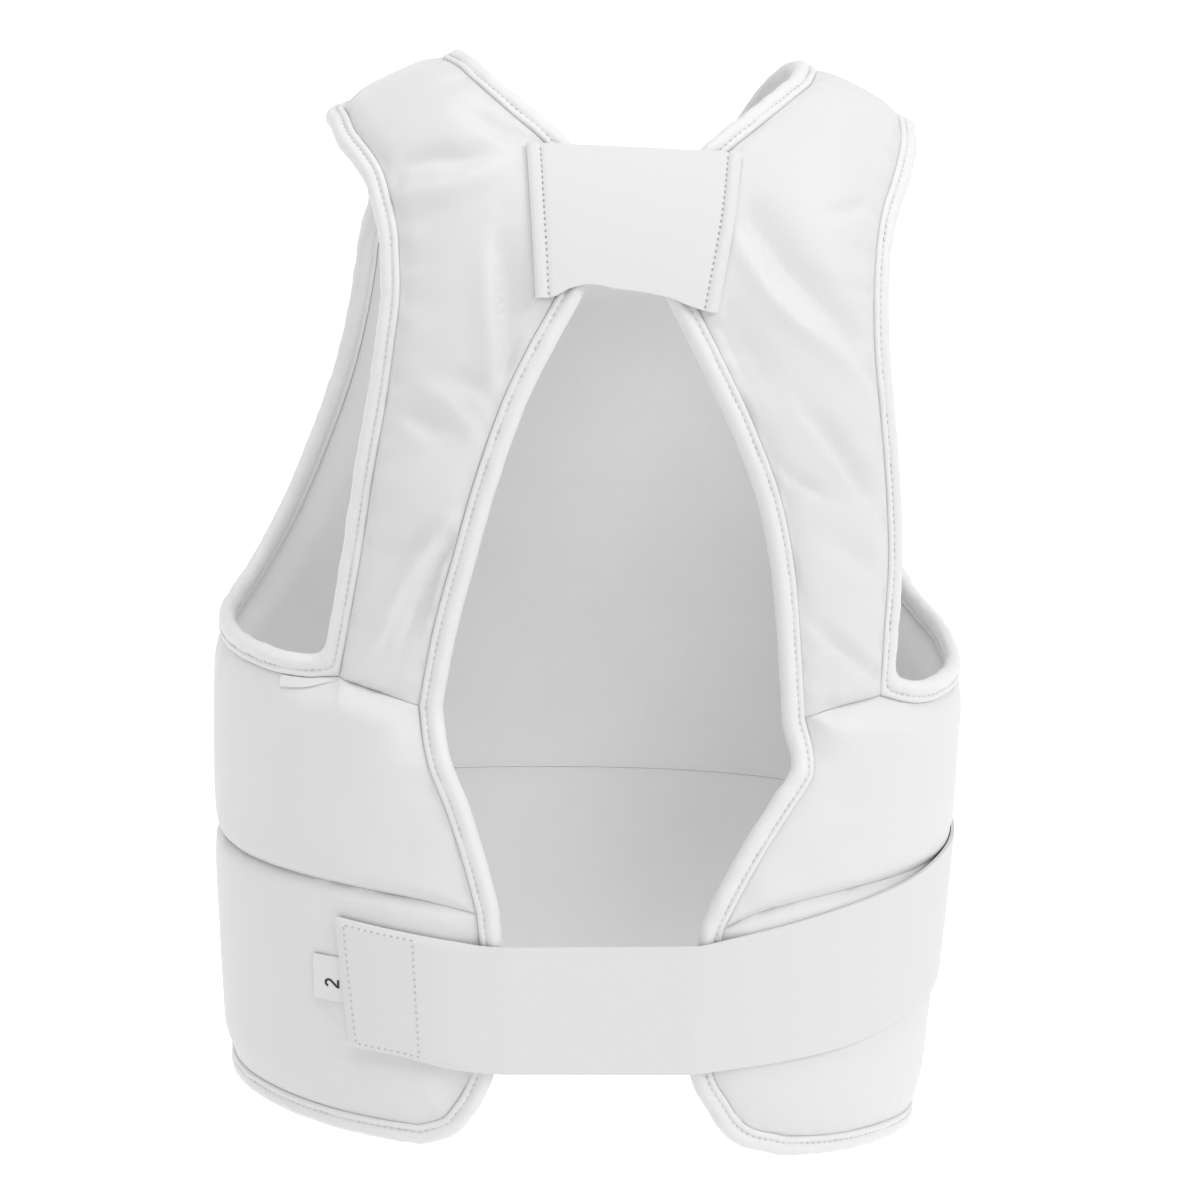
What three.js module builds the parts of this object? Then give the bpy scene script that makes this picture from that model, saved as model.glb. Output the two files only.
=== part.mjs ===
import * as THREE from 'three';

// Sleeveless padded body protector, worn on the trunk like a waistcoat and open at the back.
// The wearer faces +Y, +X is the wearer's right and +Z is up. The origin is midway between
// the shoulders, level with the neck side of the shoulder ridge where the straps rest.
// Lengths are in millimetres. Columns named as shares are shares of the size in their note.

// Trunk form that the lining lies on
const trunkHalfWidth = 146;
const trunkBackDepth = 100;
const trunkFrontDepth = 104;
const trunkSquareness = 2.3;
const garmentLength = 430;
const waistTaper = 0.06;
const taperStart = 250;

// Shoulder ridge, and the arch from the ridge down to full depth
const ridgeHalfFlat = 72;
const ridgeLean = 7;
const ridgeSoftness = 12;
const shoulderFall = 0.56;
const archDrop = 150;
const archSquareness = 2.2;

// Walls, seams and bindings
const panelThickness = 12;
const strapThickness = 6;
const stitchedThickness = 4;
const seamGap = 0.4;
const bindingWidth = 9;
const bindingThickness = 7;
const bindingGap = 0.4;

// Thickness of a wall at its border and how far in it is full, by what the border meets:
// a binding, the seam between two panels, or the seam between a panel and a strap
const panelBorders = {
  binding: { thickness: stitchedThickness, roll: 15 },
  panel: { thickness: 9.5, roll: 6 },
  strap: { thickness: 5.6, roll: 12 },
};
const strapBorders = {
  binding: { thickness: stitchedThickness, roll: 9 },
  strap: { thickness: 5.2, roll: 4 },
};

// The bound edge of a panel stands off the lining, less and less towards the strap seams
const edgeLift = 6;
const edgeLiftReach = 28;

// Run of each strap edge, over the ridge, to its seam on the back and on the chest
const backRun = { leftNeck: 294, leftArm: 270, rightNeck: 304, rightArm: 284 };
const chestRun = { leftNeck: 112, leftArm: 104, rightNeck: 112, rightArm: 104 };

// Front neckline and the armholes
const necklineDrop = 40;
const bibSideShare = 0.43;

// Elastics and what is sewn to them
const elasticThickness = 1.6;
const elasticClearance = 0.5;
const patchThickness = 1.2;
const labelThickness = 0.6;
const labelShowing = 13;
const labelHeight = 19;
const labelTuck = 4;

// Strap edges. run is a share of each edge's run, back positive and chest negative.
// The other columns are shares of the trunk's half width.
const strapEdges = [
  { run: -1.0, leftNeck: -0.3, leftArm: -0.58, rightNeck: 0.42, rightArm: 0.68 },
  { run: -0.65, leftNeck: -0.36, leftArm: -0.61, rightNeck: 0.5, rightArm: 0.71 },
  { run: -0.3, leftNeck: -0.43, leftArm: -0.68, rightNeck: 0.56, rightArm: 0.77 },
  { run: 0.0, leftNeck: -0.464, leftArm: -0.736, rightNeck: 0.575, rightArm: 0.808 },
  { run: 0.1, leftNeck: -0.423, leftArm: -0.725, rightNeck: 0.538, rightArm: 0.8 },
  { run: 0.15, leftNeck: -0.38, leftArm: -0.711, rightNeck: 0.476, rightArm: 0.788 },
  { run: 0.2, leftNeck: -0.312, leftArm: -0.68, rightNeck: 0.384, rightArm: 0.767 },
  { run: 0.25, leftNeck: -0.225, leftArm: -0.649, rightNeck: 0.274, rightArm: 0.74 },
  { run: 0.3, leftNeck: -0.171, leftArm: -0.63, rightNeck: 0.185, rightArm: 0.71 },
  { run: 0.36, leftNeck: -0.151, leftArm: -0.611, rightNeck: 0.127, rightArm: 0.688 },
  { run: 0.42, leftNeck: -0.166, leftArm: -0.605, rightNeck: 0.14, rightArm: 0.678 },
  { run: 0.47, leftNeck: -0.211, leftArm: -0.605, rightNeck: 0.192, rightArm: 0.677 },
  { run: 0.53, leftNeck: -0.275, leftArm: -0.618, rightNeck: 0.257, rightArm: 0.684 },
  { run: 0.6, leftNeck: -0.339, leftArm: -0.634, rightNeck: 0.332, rightArm: 0.704 },
  { run: 0.7, leftNeck: -0.404, leftArm: -0.664, rightNeck: 0.421, rightArm: 0.732 },
  { run: 0.8, leftNeck: -0.455, leftArm: -0.688, rightNeck: 0.473, rightArm: 0.75 },
  { run: 0.9, leftNeck: -0.504, leftArm: -0.714, rightNeck: 0.5, rightArm: 0.747 },
  { run: 1.0, leftNeck: -0.536, leftArm: -0.743, rightNeck: 0.522, rightArm: 0.743 },
];

// Back edge of each wing above the horizontal seam. rise is a share of the way from that
// seam to the strap seam, and the other columns are shares of the half girth that the edge
// stands nearer the back centre than the strap's corner does.
const upperWingEdges = [
  { rise: 0.0, left: 0.063, right: 0.079 },
  { rise: 0.25, left: 0.0485, right: 0.05 },
  { rise: 0.5, left: 0.0313, right: 0.019 },
  { rise: 0.62, left: 0.021, right: 0.0035 },
  { rise: 0.7, left: 0.0145, right: -0.0055 },
  { rise: 0.85, left: 0.0055, right: -0.0065 },
  { rise: 1.0, left: 0.0, right: 0.0 },
];

// Back edge of each wing below the seam. fall is a share of the way from the seam to the
// hem, and the other columns are shares of the half girth past the corner at the seam.
const lowerWingEdges = [
  { fall: 0.0, left: 0.0, right: 0.0 },
  { fall: 0.2, left: 0.004, right: 0.006 },
  { fall: 0.4, left: 0.003, right: 0.008 },
  { fall: 0.6, left: 0.002, right: 0.0055 },
  { fall: 0.72, left: -0.003, right: -0.003 },
  { fall: 0.82, left: -0.012, right: -0.018 },
  { fall: 0.9, left: -0.023, right: -0.031 },
  { fall: 0.96, left: -0.035, right: -0.051 },
  { fall: 1.0, left: -0.059, right: -0.086 },
];

// Horizontal seam and hem. turn is a share of the half girth from the front centre, left
// negative, and drop is a share of the garment's length.
const seamLine = [
  { turn: -0.91, drop: 0.786 },
  { turn: -0.79, drop: 0.766 },
  { turn: -0.6, drop: 0.759 },
  { turn: 0.0, drop: 0.759 },
  { turn: 0.6, drop: 0.759 },
  { turn: 0.745, drop: 0.763 },
  { turn: 0.85, drop: 0.777 },
  { turn: 0.91, drop: 0.802 },
];
const hemLine = [
  { turn: -0.82, drop: 0.993 },
  { turn: -0.74, drop: 0.99 },
  { turn: -0.6, drop: 0.983 },
  { turn: -0.4, drop: 0.986 },
  { turn: 0.0, drop: 1.0 },
  { turn: 0.4, drop: 1.015 },
  { turn: 0.57, drop: 1.023 },
  { turn: 0.67, drop: 1.017 },
  { turn: 0.745, drop: 1.013 },
  { turn: 0.81, drop: 1.006 },
];

// Bottom of each armhole, as drops. back is a share of the way from the strap's corner
// round to where the bib begins.
const armholeFloor = [
  { back: 0.0, left: 0.569, right: 0.58 },
  { back: 0.14, left: 0.57, right: 0.592 },
  { back: 0.3, left: 0.569, right: 0.593 },
  { back: 0.6, left: 0.565, right: 0.588 },
  { back: 1.0, left: 0.56, right: 0.566 },
];

// Front edge of each armhole. climb is a share of the way up the bib's side, inward is a
// share of the half girth that the edge stands nearer the front centre than the bib's foot,
// and height is a share of the rise from the foot to the chest end of the strap.
const bibSides = [
  { climb: 0.0, inward: 0.0, height: 0.0 },
  { climb: 0.16, inward: 0.053, height: 0.05 },
  { climb: 0.32, inward: 0.104, height: 0.17 },
  { climb: 0.48, inward: 0.145, height: 0.34 },
  { climb: 0.66, inward: 0.18, height: 0.55 },
  { climb: 0.84, inward: 0.2, height: 0.78 },
  { climb: 1.0, inward: 0.205, height: 1.0 },
];

// Waist elastic. turn is a share of the half girth from the back centre, wearer's left
// negative, and the edges are drops. The slant is how much nearer the back centre the left
// end's bottom corner is than its top corner, as the same kind of share.
const waistBand = [
  { turn: -0.264, top: 0.792, bottom: 0.917 },
  { turn: -0.206, top: 0.798, bottom: 0.921 },
  { turn: -0.158, top: 0.803, bottom: 0.929 },
  { turn: -0.12, top: 0.807, bottom: 0.932 },
  { turn: 0.0, top: 0.808, bottom: 0.934 },
  { turn: 0.08, top: 0.806, bottom: 0.933 },
  { turn: 0.126, top: 0.798, bottom: 0.929 },
  { turn: 0.187, top: 0.787, bottom: 0.925 },
  { turn: 0.253, top: 0.775, bottom: 0.919 },
  { turn: 0.318, top: 0.764, bottom: 0.908 },
  { turn: 0.386, top: 0.751, bottom: 0.897 },
  { turn: 0.45, top: 0.743, bottom: 0.882 },
  { turn: 0.52, top: 0.738, bottom: 0.87 },
  { turn: 0.6, top: 0.735, bottom: 0.864 },
];
const waistEndSlant = 0.012;
const waistSpan = { from: -0.105, to: 0.085 };
const patchTurns = { from: -0.255, to: -0.176 };
const patchInset = 3;

// Upper elastic. down is a share from its top edge to its bottom edge, run is a share of
// the neck edges' back run, and left and right are shares of the trunk's half width.
const upperBand = [
  { down: 0.0, run: 0.257, left: -0.276, right: 0.306 },
  { down: 0.4, run: 0.345, left: -0.269, right: 0.278 },
  { down: 1.0, run: 0.467, left: -0.257, right: 0.228 },
];

// Shares at which the meshes are divided
const wingColumns = [0, 0.07, 0.2, 0.4, 0.6, 0.8, 1];
const chestRows = [0, 0.05, 0.14, 0.32, 0.5, 0.7, 0.86, 0.95, 1];
const abdomenRows = [0, 0.05, 0.14, 0.3, 0.46, 0.6, 0.72, 0.82, 0.9, 0.96, 1];
const strapColumns = [0, 0.1, 0.25, 0.42, 0.58, 0.75, 0.9, 1];
const armholeColumns = 9;
const frontColumns = 22;
const seamColumns = 6;
const bibRows = 9;
const strapBackRows = 20;
const strapChestRows = 7;
const waistColumns = { left: 7, open: 4, right: 22 };
const waistRows = 4;
const upperColumns = 12;
const upperRows = 7;
const patchColumns = 5;
const patchRows = [0, 0.35, 0.65, 1];
const labelColumns = 3;
const labelRows = 2;
const wingEnd = wingColumns.length - 1;
const profileSteps = 240;

// Steps by which the facing direction is measured, the reach that joins seam ends, and the
// step within which places are one
const turnStep = 0.0015;
const acrossStep = 0.4;
const heightStep = 0.4;
const runStep = 0.8;
const joinReach = 4 * seamGap;
const weldStep = 0.002;
const lowestNarrowing = 1.3;
const heartShare = 0.8;

const clamp = THREE.MathUtils.clamp;
const mix = THREE.MathUtils.lerp;

function ease(share) {
  return share * share * (3 - 2 * share);
}

function evenly(count) {
  return Array.from({ length: count + 1 }, (_, i) => i / count);
}

// Smooth curve through one column of a table
function curveThrough(rows, along, column) {
  const last = rows.length - 1;
  function slope(k) {
    const before = rows[Math.max(k - 1, 0)];
    const after = rows[Math.min(k + 1, last)];
    return (after[column] - before[column]) / (after[along] - before[along]);
  }
  return (at) => {
    if (at <= rows[0][along]) return rows[0][column];
    if (at >= rows[last][along]) return rows[last][column];
    let i = 0;
    while (at > rows[i + 1][along]) i += 1;
    const span = rows[i + 1][along] - rows[i][along];
    const s = (at - rows[i][along]) / span;
    const lower = rows[i][column] * (1 + 2 * s) + slope(i) * span * s;
    const upper = rows[i + 1][column] * (3 - 2 * s) + slope(i + 1) * span * (s - 1);
    return lower * (1 - s) ** 2 + upper * s ** 2;
  };
}

// Straight reading of a rising list of numbers against another
function readOff(from, to, at) {
  let low = 0;
  let high = from.length - 1;
  if (at <= from[low]) return to[low];
  if (at >= from[high]) return to[high];
  while (high - low > 1) {
    const middle = (low + high) >> 1;
    if (from[middle] <= at) low = middle;
    else high = middle;
  }
  return mix(to[low], to[high], (at - from[low]) / (from[high] - from[low]));
}

// Quarter arch from the ridge to full depth: its run, drop and share of the depth
function archProfile(depth) {
  const profile = { run: [0], drop: [0], share: [0] };
  for (let i = 1; i <= profileSteps; i += 1) {
    const angle = (Math.PI / 2) * (i / profileSteps);
    const drop = archDrop * (1 - Math.max(Math.cos(angle), 0) ** (2 / archSquareness));
    const share = Math.sin(angle) ** (2 / archSquareness);
    const step = Math.hypot(drop - profile.drop[i - 1], depth * (share - profile.share[i - 1]));
    profile.run.push(profile.run[i - 1] + step);
    profile.drop.push(drop);
    profile.share.push(share);
  }
  return profile;
}
const backArch = archProfile(trunkBackDepth);
const chestArch = archProfile(trunkFrontDepth);

function dropAtRun(run) {
  const arch = run >= 0 ? backArch : chestArch;
  const full = arch.run[profileSteps];
  const past = Math.max(Math.abs(run) - full, 0);
  return readOff(arch.run, arch.drop, Math.abs(run)) + past;
}

function archShare(drop) {
  const left = 1 - clamp(drop / archDrop, 0, 1);
  return (1 - left ** archSquareness) ** (1 / archSquareness);
}

// Half of the trunk's level section, from the back centre round to the front centre
function levelSection() {
  const section = { length: [0], x: [0], y: [-trunkBackDepth] };
  const steps = 2 * profileSteps;
  for (let i = 1; i <= steps; i += 1) {
    const angle = Math.PI * (i / steps);
    const across = Math.cos(angle);
    const depth = across > 0 ? -trunkBackDepth : trunkFrontDepth;
    const x = trunkHalfWidth * Math.max(Math.sin(angle), 0) ** (2 / trunkSquareness);
    const y = depth * Math.abs(across) ** (2 / trunkSquareness);
    section.length.push(section.length[i - 1] + Math.hypot(x - section.x[i - 1], y - section.y[i - 1]));
    section.x.push(x);
    section.y.push(y);
  }
  return section;
}
const section = levelSection();
const halfGirth = section.length[2 * profileSteps];

// Share of the half girth from the back centre to where the section reaches x
function backShareAt(x) {
  const side = section.x.slice(0, profileSteps + 1);
  return readOff(side, section.length, Math.abs(x)) / halfGirth;
}

function frontShareAt(x) {
  const side = section.x.slice(profileSteps).reverse();
  const lengths = section.length.slice(profileSteps).reverse();
  return 1 - readOff(side, lengths, Math.abs(x)) / halfGirth;
}

function ridgeHeight(x) {
  const past = Math.abs(x - ridgeLean) - ridgeHalfFlat;
  return -shoulderFall * (past + Math.hypot(past, ridgeSoftness)) / 2;
}

function narrowing(z) {
  const share = clamp((-z - taperStart) / (garmentLength - taperStart), 0, lowestNarrowing);
  return 1 - waistTaper * share * share;
}

// Point of the lining by its turn from the front centre and its height
function liningAround(turn, z) {
  const length = (1 - Math.abs(turn)) * halfGirth;
  const x = Math.sign(turn) * readOff(section.length, section.x, length);
  const y = readOff(section.length, section.y, length) * archShare(ridgeHeight(x) - z);
  const narrow = narrowing(z);
  return new THREE.Vector3(x * narrow, y * narrow, z);
}

// Point of the lining by its place across and its run over the ridge
function liningOver(x, run) {
  const z = ridgeHeight(x) - dropAtRun(run);
  const bulge = (1 - Math.abs(x / trunkHalfWidth) ** trunkSquareness) ** (1 / trunkSquareness);
  const depth = run >= 0 ? -trunkBackDepth : trunkFrontDepth;
  const narrow = narrowing(z);
  const y = depth * bulge * archShare(dropAtRun(run)) * narrow;
  return new THREE.Vector3(x * narrow, y, z);
}

// A lining point with the direction that faces out of the trunk there
function facing(lining, a, b, stepA, stepB) {
  const at = lining(a, b);
  const alongA = lining(a + stepA, b).sub(lining(a - stepA, b));
  const alongB = lining(a, b + stepB).sub(lining(a, b - stepB));
  const out = alongA.cross(alongB).normalize();
  const heart = new THREE.Vector3(0, 0, Math.min(at.z, -archDrop * heartShare));
  if (out.dot(at.clone().sub(heart)) < 0) out.negate();
  return { at, out };
}

function around(turn, z) {
  return facing(liningAround, turn, z, turnStep, heightStep);
}

function over(x, run) {
  return facing(liningOver, x, run, acrossStep, runStep);
}

function lifted(place, lift) {
  return { at: place.at.clone().addScaledVector(place.out, lift), out: place.out };
}

function blended(first, second, share) {
  return {
    at: first.at.clone().lerp(second.at, share),
    out: first.out.clone().lerp(second.out, share).normalize(),
  };
}

// Closed mesh from points and triangles, turned so that its faces point out
function closedMesh(name, points, triangles, finish) {
  let volume = 0;
  for (const [a, b, c] of triangles) {
    volume += points[a].dot(points[b].clone().cross(points[c]));
  }
  const order = volume > 0 ? [0, 1, 2] : [0, 2, 1];
  const geometry = new THREE.BufferGeometry();
  const positions = points.flatMap((point) => point.toArray());
  geometry.setAttribute('position', new THREE.Float32BufferAttribute(positions, 3));
  geometry.setIndex(triangles.flatMap((corners) => order.map((k) => corners[k])));
  geometry.computeVertexNormals();
  const mesh = new THREE.Mesh(geometry, new THREE.MeshStandardMaterial(finish));
  mesh.name = name;
  return mesh;
}

// Sheet of welded places from one or more grids
function weldedSheet(grids) {
  const places = [];
  const faces = [];
  const known = new Map();
  function placeIndex(place) {
    const key = place.at.toArray().map((value) => Math.round(value / weldStep)).join(' ');
    if (!known.has(key)) {
      known.set(key, places.length);
      places.push(place);
    }
    return known.get(key);
  }
  for (const grid of grids) {
    const numbers = grid.map((row) => row.map(placeIndex));
    for (let i = 0; i + 1 < numbers.length; i += 1) {
      for (let j = 0; j + 1 < numbers[i].length; j += 1) {
        faces.push([numbers[i][j], numbers[i][j + 1], numbers[i + 1][j + 1], numbers[i + 1][j]]);
      }
    }
  }
  return { places, faces };
}

function borderEdges(faces) {
  const edges = new Map();
  for (const face of faces) {
    face.forEach((from, k) => edges.set(`${from} ${face[(k + 1) % 4]}`, [from, face[(k + 1) % 4]]));
  }
  return [...edges.values()].filter(([from, to]) => !edges.has(`${to} ${from}`));
}

// How far a place's lining is lifted where it lies at a bound edge
function edgeLiftOf(place) {
  return place.edgeLift ?? 0;
}

// Wall on a sheet, of one thickness or thinner at the kinds of border that are given
function wall(name, grids, fullThickness, borders, finish) {
  const { places, faces } = weldedSheet(grids);
  const border = borderEdges(faces);
  const line = new THREE.Line3();
  const nearest = new THREE.Vector3();
  function facesBy(place, from, to) {
    const met = from.meets === to.meets ? from.meets : undefined;
    const kind = borders[met ?? 'binding'];
    const lift = met ? 0 : edgeLiftOf(place);
    line.set(from.at, to.at);
    line.closestPointToPoint(place.at, true, nearest);
    const share = Math.sin((Math.PI / 2) * Math.min(nearest.distanceTo(place.at) / kind.roll, 1));
    return { lining: lift * (1 - share), cover: mix(lift + kind.thickness, fullThickness, share) };
  }
  const linings = [];
  const covers = [];
  for (const place of places) {
    let lining = 0;
    let cover = fullThickness;
    if (borders) {
      for (const [from, to] of border) {
        const by = facesBy(place, places[from], places[to]);
        lining = Math.max(lining, by.lining);
        cover = Math.min(cover, by.cover);
      }
    }
    linings.push(lifted(place, lining).at);
    covers.push(lifted(place, cover).at);
  }
  const points = [...linings, ...covers];
  const shift = places.length;
  const triangles = [];
  for (const [a, b, c, d] of faces) {
    triangles.push([a, b, c], [a, c, d]);
    triangles.push([a + shift, c + shift, b + shift], [a + shift, d + shift, c + shift]);
  }
  for (const [from, to] of border) {
    triangles.push([to, from, from + shift], [to, from + shift, to + shift]);
  }
  return closedMesh(name, points, triangles, finish);
}

// Rolled binding along a closed outline, on the side that the sign names
function binding(name, outline, sign, finish) {
  const middle = stitchedThickness / 2;
  const half = bindingThickness / 2;
  const profile = [
    { out: bindingGap, up: middle - half * 0.8 },
    { out: bindingGap, up: middle + half * 0.8 },
    { out: bindingGap + bindingWidth * 0.5, up: middle + half },
    { out: bindingGap + bindingWidth, up: middle + half * 0.45 },
    { out: bindingGap + bindingWidth, up: middle - half * 0.45 },
    { out: bindingGap + bindingWidth * 0.5, up: middle - half },
  ];
  const count = outline.length;
  const sides = profile.length;
  const points = [];
  outline.forEach((place, i) => {
    const before = place.at.clone().sub(outline[(i + count - 1) % count].at);
    const after = outline[(i + 1) % count].at.clone().sub(place.at);
    const away = before.cross(place.out).normalize().multiplyScalar(sign);
    const next = after.cross(place.out).normalize().multiplyScalar(sign);
    const mitre = away.clone().add(next).divideScalar(1 + away.dot(next));
    for (const corner of profile) {
      points.push(place.at.clone().addScaledVector(mitre, corner.out).addScaledVector(place.out, corner.up));
    }
  });
  const triangles = [];
  for (let i = 0; i < count; i += 1) {
    for (let k = 0; k < sides; k += 1) {
      const a = i * sides + k;
      const b = i * sides + ((k + 1) % sides);
      const c = ((i + 1) % count) * sides + ((k + 1) % sides);
      const d = ((i + 1) % count) * sides + k;
      triangles.push([a, b, c], [a, c, d]);
    }
  }
  return closedMesh(name, points, triangles, finish);
}

// Outline as one closed list, with the two sides of each seam gap joined in one place
function joinedOutline(stretches) {
  const outline = [];
  for (const place of stretches.flat().map((border) => lifted(border, edgeLiftOf(border)))) {
    const last = outline.at(-1);
    const joins = last && last.at.distanceTo(place.at) < joinReach;
    if (joins) outline.pop();
    outline.push(joins ? blended(last, place, 0.5) : place);
  }
  const first = outline[0];
  const end = outline.at(-1);
  if (first.at.distanceTo(end.at) < joinReach) {
    outline.pop();
    outline[0] = blended(first, end, 0.5);
  }
  return outline;
}

// Places of a row, or of part of it, that meet another wall at a seam
function meeting(row, wallKind, from = 0, to = row.length - 1) {
  return row.map((place, k) => (k >= from && k <= to ? { ...place, meets: wallKind } : place));
}

// Places across and along the straps
const strapX = {};
for (const edge of ['leftNeck', 'leftArm', 'rightNeck', 'rightArm']) {
  const share = curveThrough(strapEdges, 'run', edge);
  strapX[edge] = (run) => share(run) * trunkHalfWidth;
}

function strapPlace(side, run, across, gap) {
  const neck = `${side}Neck`;
  const arm = `${side}Arm`;
  const reach = run >= 0 ? backRun : chestRun;
  const x = mix(strapX[neck](run), strapX[arm](run), across);
  const length = mix(reach[neck], reach[arm], across);
  const trim = Math.abs(run) === 1 ? Math.sign(run) * gap : 0;
  return { x, run: run * length - trim };
}

function strapGrid(side) {
  const chest = evenly(strapChestRows).map((share) => share - 1);
  const back = evenly(strapBackRows).slice(1);
  const grid = [...chest, ...back].map((run) => strapColumns.map((across) => {
    const place = strapPlace(side, run, across, seamGap / 2);
    return over(place.x, place.run);
  }));
  const last = grid.length - 1;
  return grid.map((row, i) => (i === 0 || i === last ? meeting(row, 'strap') : row));
}

// Ends of the strap seams, on the back and on the chest, as turns and heights
function strapSeam(side, run, across) {
  const place = strapPlace(side, run, across, -seamGap / 2);
  const share = run > 0 ? 1 - backShareAt(place.x) : frontShareAt(place.x);
  return { turn: Math.sign(place.x) * share, z: ridgeHeight(place.x) - dropAtRun(place.run) };
}

const sides = ['left', 'right'];
const sign = { left: -1, right: 1 };
const corner = {};
for (const side of sides) {
  corner[side] = { neck: strapSeam(side, 1, 0), arm: strapSeam(side, 1, 1) };
}

const drops = { seam: curveThrough(seamLine, 'turn', 'drop'), hem: curveThrough(hemLine, 'turn', 'drop') };
const floors = {};
const upperEdges = {};
const lowerEdges = {};
for (const side of sides) {
  floors[side] = curveThrough(armholeFloor, 'back', side);
  upperEdges[side] = curveThrough(upperWingEdges, 'rise', side);
  lowerEdges[side] = curveThrough(lowerWingEdges, 'fall', side);
}

function seamHeight(turn) {
  return -drops.seam(turn) * garmentLength;
}

function hemHeight(turn) {
  return -drops.hem(turn) * garmentLength;
}

function upperWingTurn(side, rise) {
  return corner[side].neck.turn + sign[side] * upperEdges[side](rise);
}

function lowerWingTurn(side, fall) {
  return upperWingTurn(side, 0) + sign[side] * lowerEdges[side](fall);
}

// Turns of one row, from the left wing's back edge round the front to the right wing's
function rowTurns(leftEdge, rightEdge) {
  const leftWing = wingColumns.map((share) => mix(leftEdge, corner.left.arm.turn, share));
  const rightWing = wingColumns.map((share) => mix(rightEdge, corner.right.arm.turn, share)).reverse();
  const leftSide = evenly(armholeColumns).map((s) => mix(corner.left.arm.turn, -bibSideShare, s));
  const rightSide = evenly(armholeColumns).map((s) => mix(bibSideShare, corner.right.arm.turn, s));
  const front = evenly(frontColumns).map((s) => mix(-bibSideShare, bibSideShare, s));
  return [leftWing, leftSide.slice(1), front.slice(1), rightSide.slice(1), rightWing.slice(1)].flat();
}

// Top of the wrapped band: strap seam, armhole floor, then a level line below the bib
function floorHeight(side, share) {
  const start = corner[side].arm.z;
  const table = -floors[side](share) * garmentLength;
  return share === 0 ? start : table;
}

function bandTops() {
  const lefts = wingColumns.map((share) => strapSeam('left', 1, share).z);
  const rights = wingColumns.map((share) => strapSeam('right', 1, share).z).reverse();
  const leftSide = evenly(armholeColumns).map((s) => floorHeight('left', s));
  const rightSide = evenly(armholeColumns).map((s) => floorHeight('right', 1 - s));
  const front = evenly(frontColumns).map((s) => mix(floorHeight('left', 1), floorHeight('right', 1), s));
  return [lefts, leftSide.slice(1), front.slice(1), rightSide.slice(1), rights.slice(1)].flat();
}

function chestBand() {
  const tops = bandTops();
  const grid = chestRows.map((rise) => {
    const turns = rowTurns(upperWingTurn('left', rise), upperWingTurn('right', rise));
    return turns.map((turn, k) => around(turn, mix(seamHeight(turn) + seamGap / 2, tops[k], rise)));
  });
  const last = grid.length - 1;
  const end = tops.length - 1;
  grid[0] = meeting(grid[0], 'panel');
  grid[last] = meeting(grid[last], 'strap', 0, wingEnd);
  grid[last] = meeting(grid[last], 'strap', end - wingEnd, end);
  return grid;
}

function abdomenBand() {
  const grid = abdomenRows.map((fall) => {
    const turns = rowTurns(lowerWingTurn('left', fall), lowerWingTurn('right', fall));
    return turns.map((turn) => around(turn, mix(seamHeight(turn) - seamGap / 2, hemHeight(turn), fall)));
  });
  grid[0] = meeting(grid[0], 'panel');
  return grid;
}

// Upper edge of the bib: left strap seam, neckline, right strap seam
function bibTop(share) {
  const seamShare = seamColumns / frontColumns;
  if (share <= seamShare) return strapSeam('left', -1, 1 - share / seamShare);
  if (share >= 1 - seamShare) return strapSeam('right', -1, (share - 1 + seamShare) / seamShare);
  const left = strapSeam('left', -1, 0);
  const right = strapSeam('right', -1, 0);
  const angle = Math.PI * (share - seamShare) / (1 - 2 * seamShare);
  const across = (1 - Math.cos(angle)) / 2;
  return {
    turn: mix(left.turn, right.turn, across),
    z: mix(left.z, right.z, across) - necklineDrop * Math.sin(angle),
  };
}

function bibSide(side, climb) {
  const foot = { turn: sign[side] * bibSideShare, z: floorHeight(side, 1) };
  const head = strapSeam(side, -1, 1);
  const inward = curveThrough(bibSides, 'climb', 'inward');
  const height = curveThrough(bibSides, 'climb', 'height');
  const reach = (bibSideShare - Math.abs(head.turn)) / inward(1);
  return {
    turn: foot.turn - sign[side] * inward(climb) * reach,
    z: mix(foot.z, head.z, height(climb)),
  };
}

// Patch between the band's top, the two armhole edges and the bib's upper edge
function bibGrid() {
  const foot = (share) => ({
    turn: mix(-bibSideShare, bibSideShare, share),
    z: mix(floorHeight('left', 1), floorHeight('right', 1), share),
  });
  const grid = evenly(bibRows).map((climb) => evenly(frontColumns).map((share) => {
    const left = bibSide('left', climb);
    const right = bibSide('right', climb);
    const patch = (key) => mix(foot(share)[key], bibTop(share)[key], climb)
      + mix(left[key], right[key], share)
      - mix(mix(foot(0)[key], foot(1)[key], share), mix(bibTop(0)[key], bibTop(1)[key], share), climb);
    if (climb === 0) return around(foot(share).turn, foot(share).z);
    return around(patch('turn'), patch('z'));
  }));
  grid[bibRows] = meeting(grid[bibRows], 'strap', 0, seamColumns);
  grid[bibRows] = meeting(grid[bibRows], 'strap', frontColumns - seamColumns, frontColumns);
  return grid;
}

const grids = {
  chest: chestBand(),
  bib: bibGrid(),
  abdomen: abdomenBand(),
  left: strapGrid('left'),
  right: strapGrid('right'),
};

// Bound edges of the panels are lifted off the lining by how far the strap seams are
const strapSeams = [grids.chest, grids.bib].flat(2).filter((place) => place.meets === 'strap');
for (const place of [grids.chest, grids.bib, grids.abdomen].flat(2)) {
  const nearest = Math.min(...strapSeams.map((seam) => seam.at.distanceTo(place.at)));
  place.edgeLift = edgeLift * ease(Math.min(nearest / edgeLiftReach, 1));
}

const columnOf = (grid, column) => grid.map((row) => row.at(column));
const topRow = grids.chest.at(-1);
const armholeStretch = {
  left: topRow.slice(wingEnd, wingEnd + armholeColumns + 1),
  right: topRow.slice(wingEnd + armholeColumns + frontColumns, topRow.length - wingEnd).reverse(),
};

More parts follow.
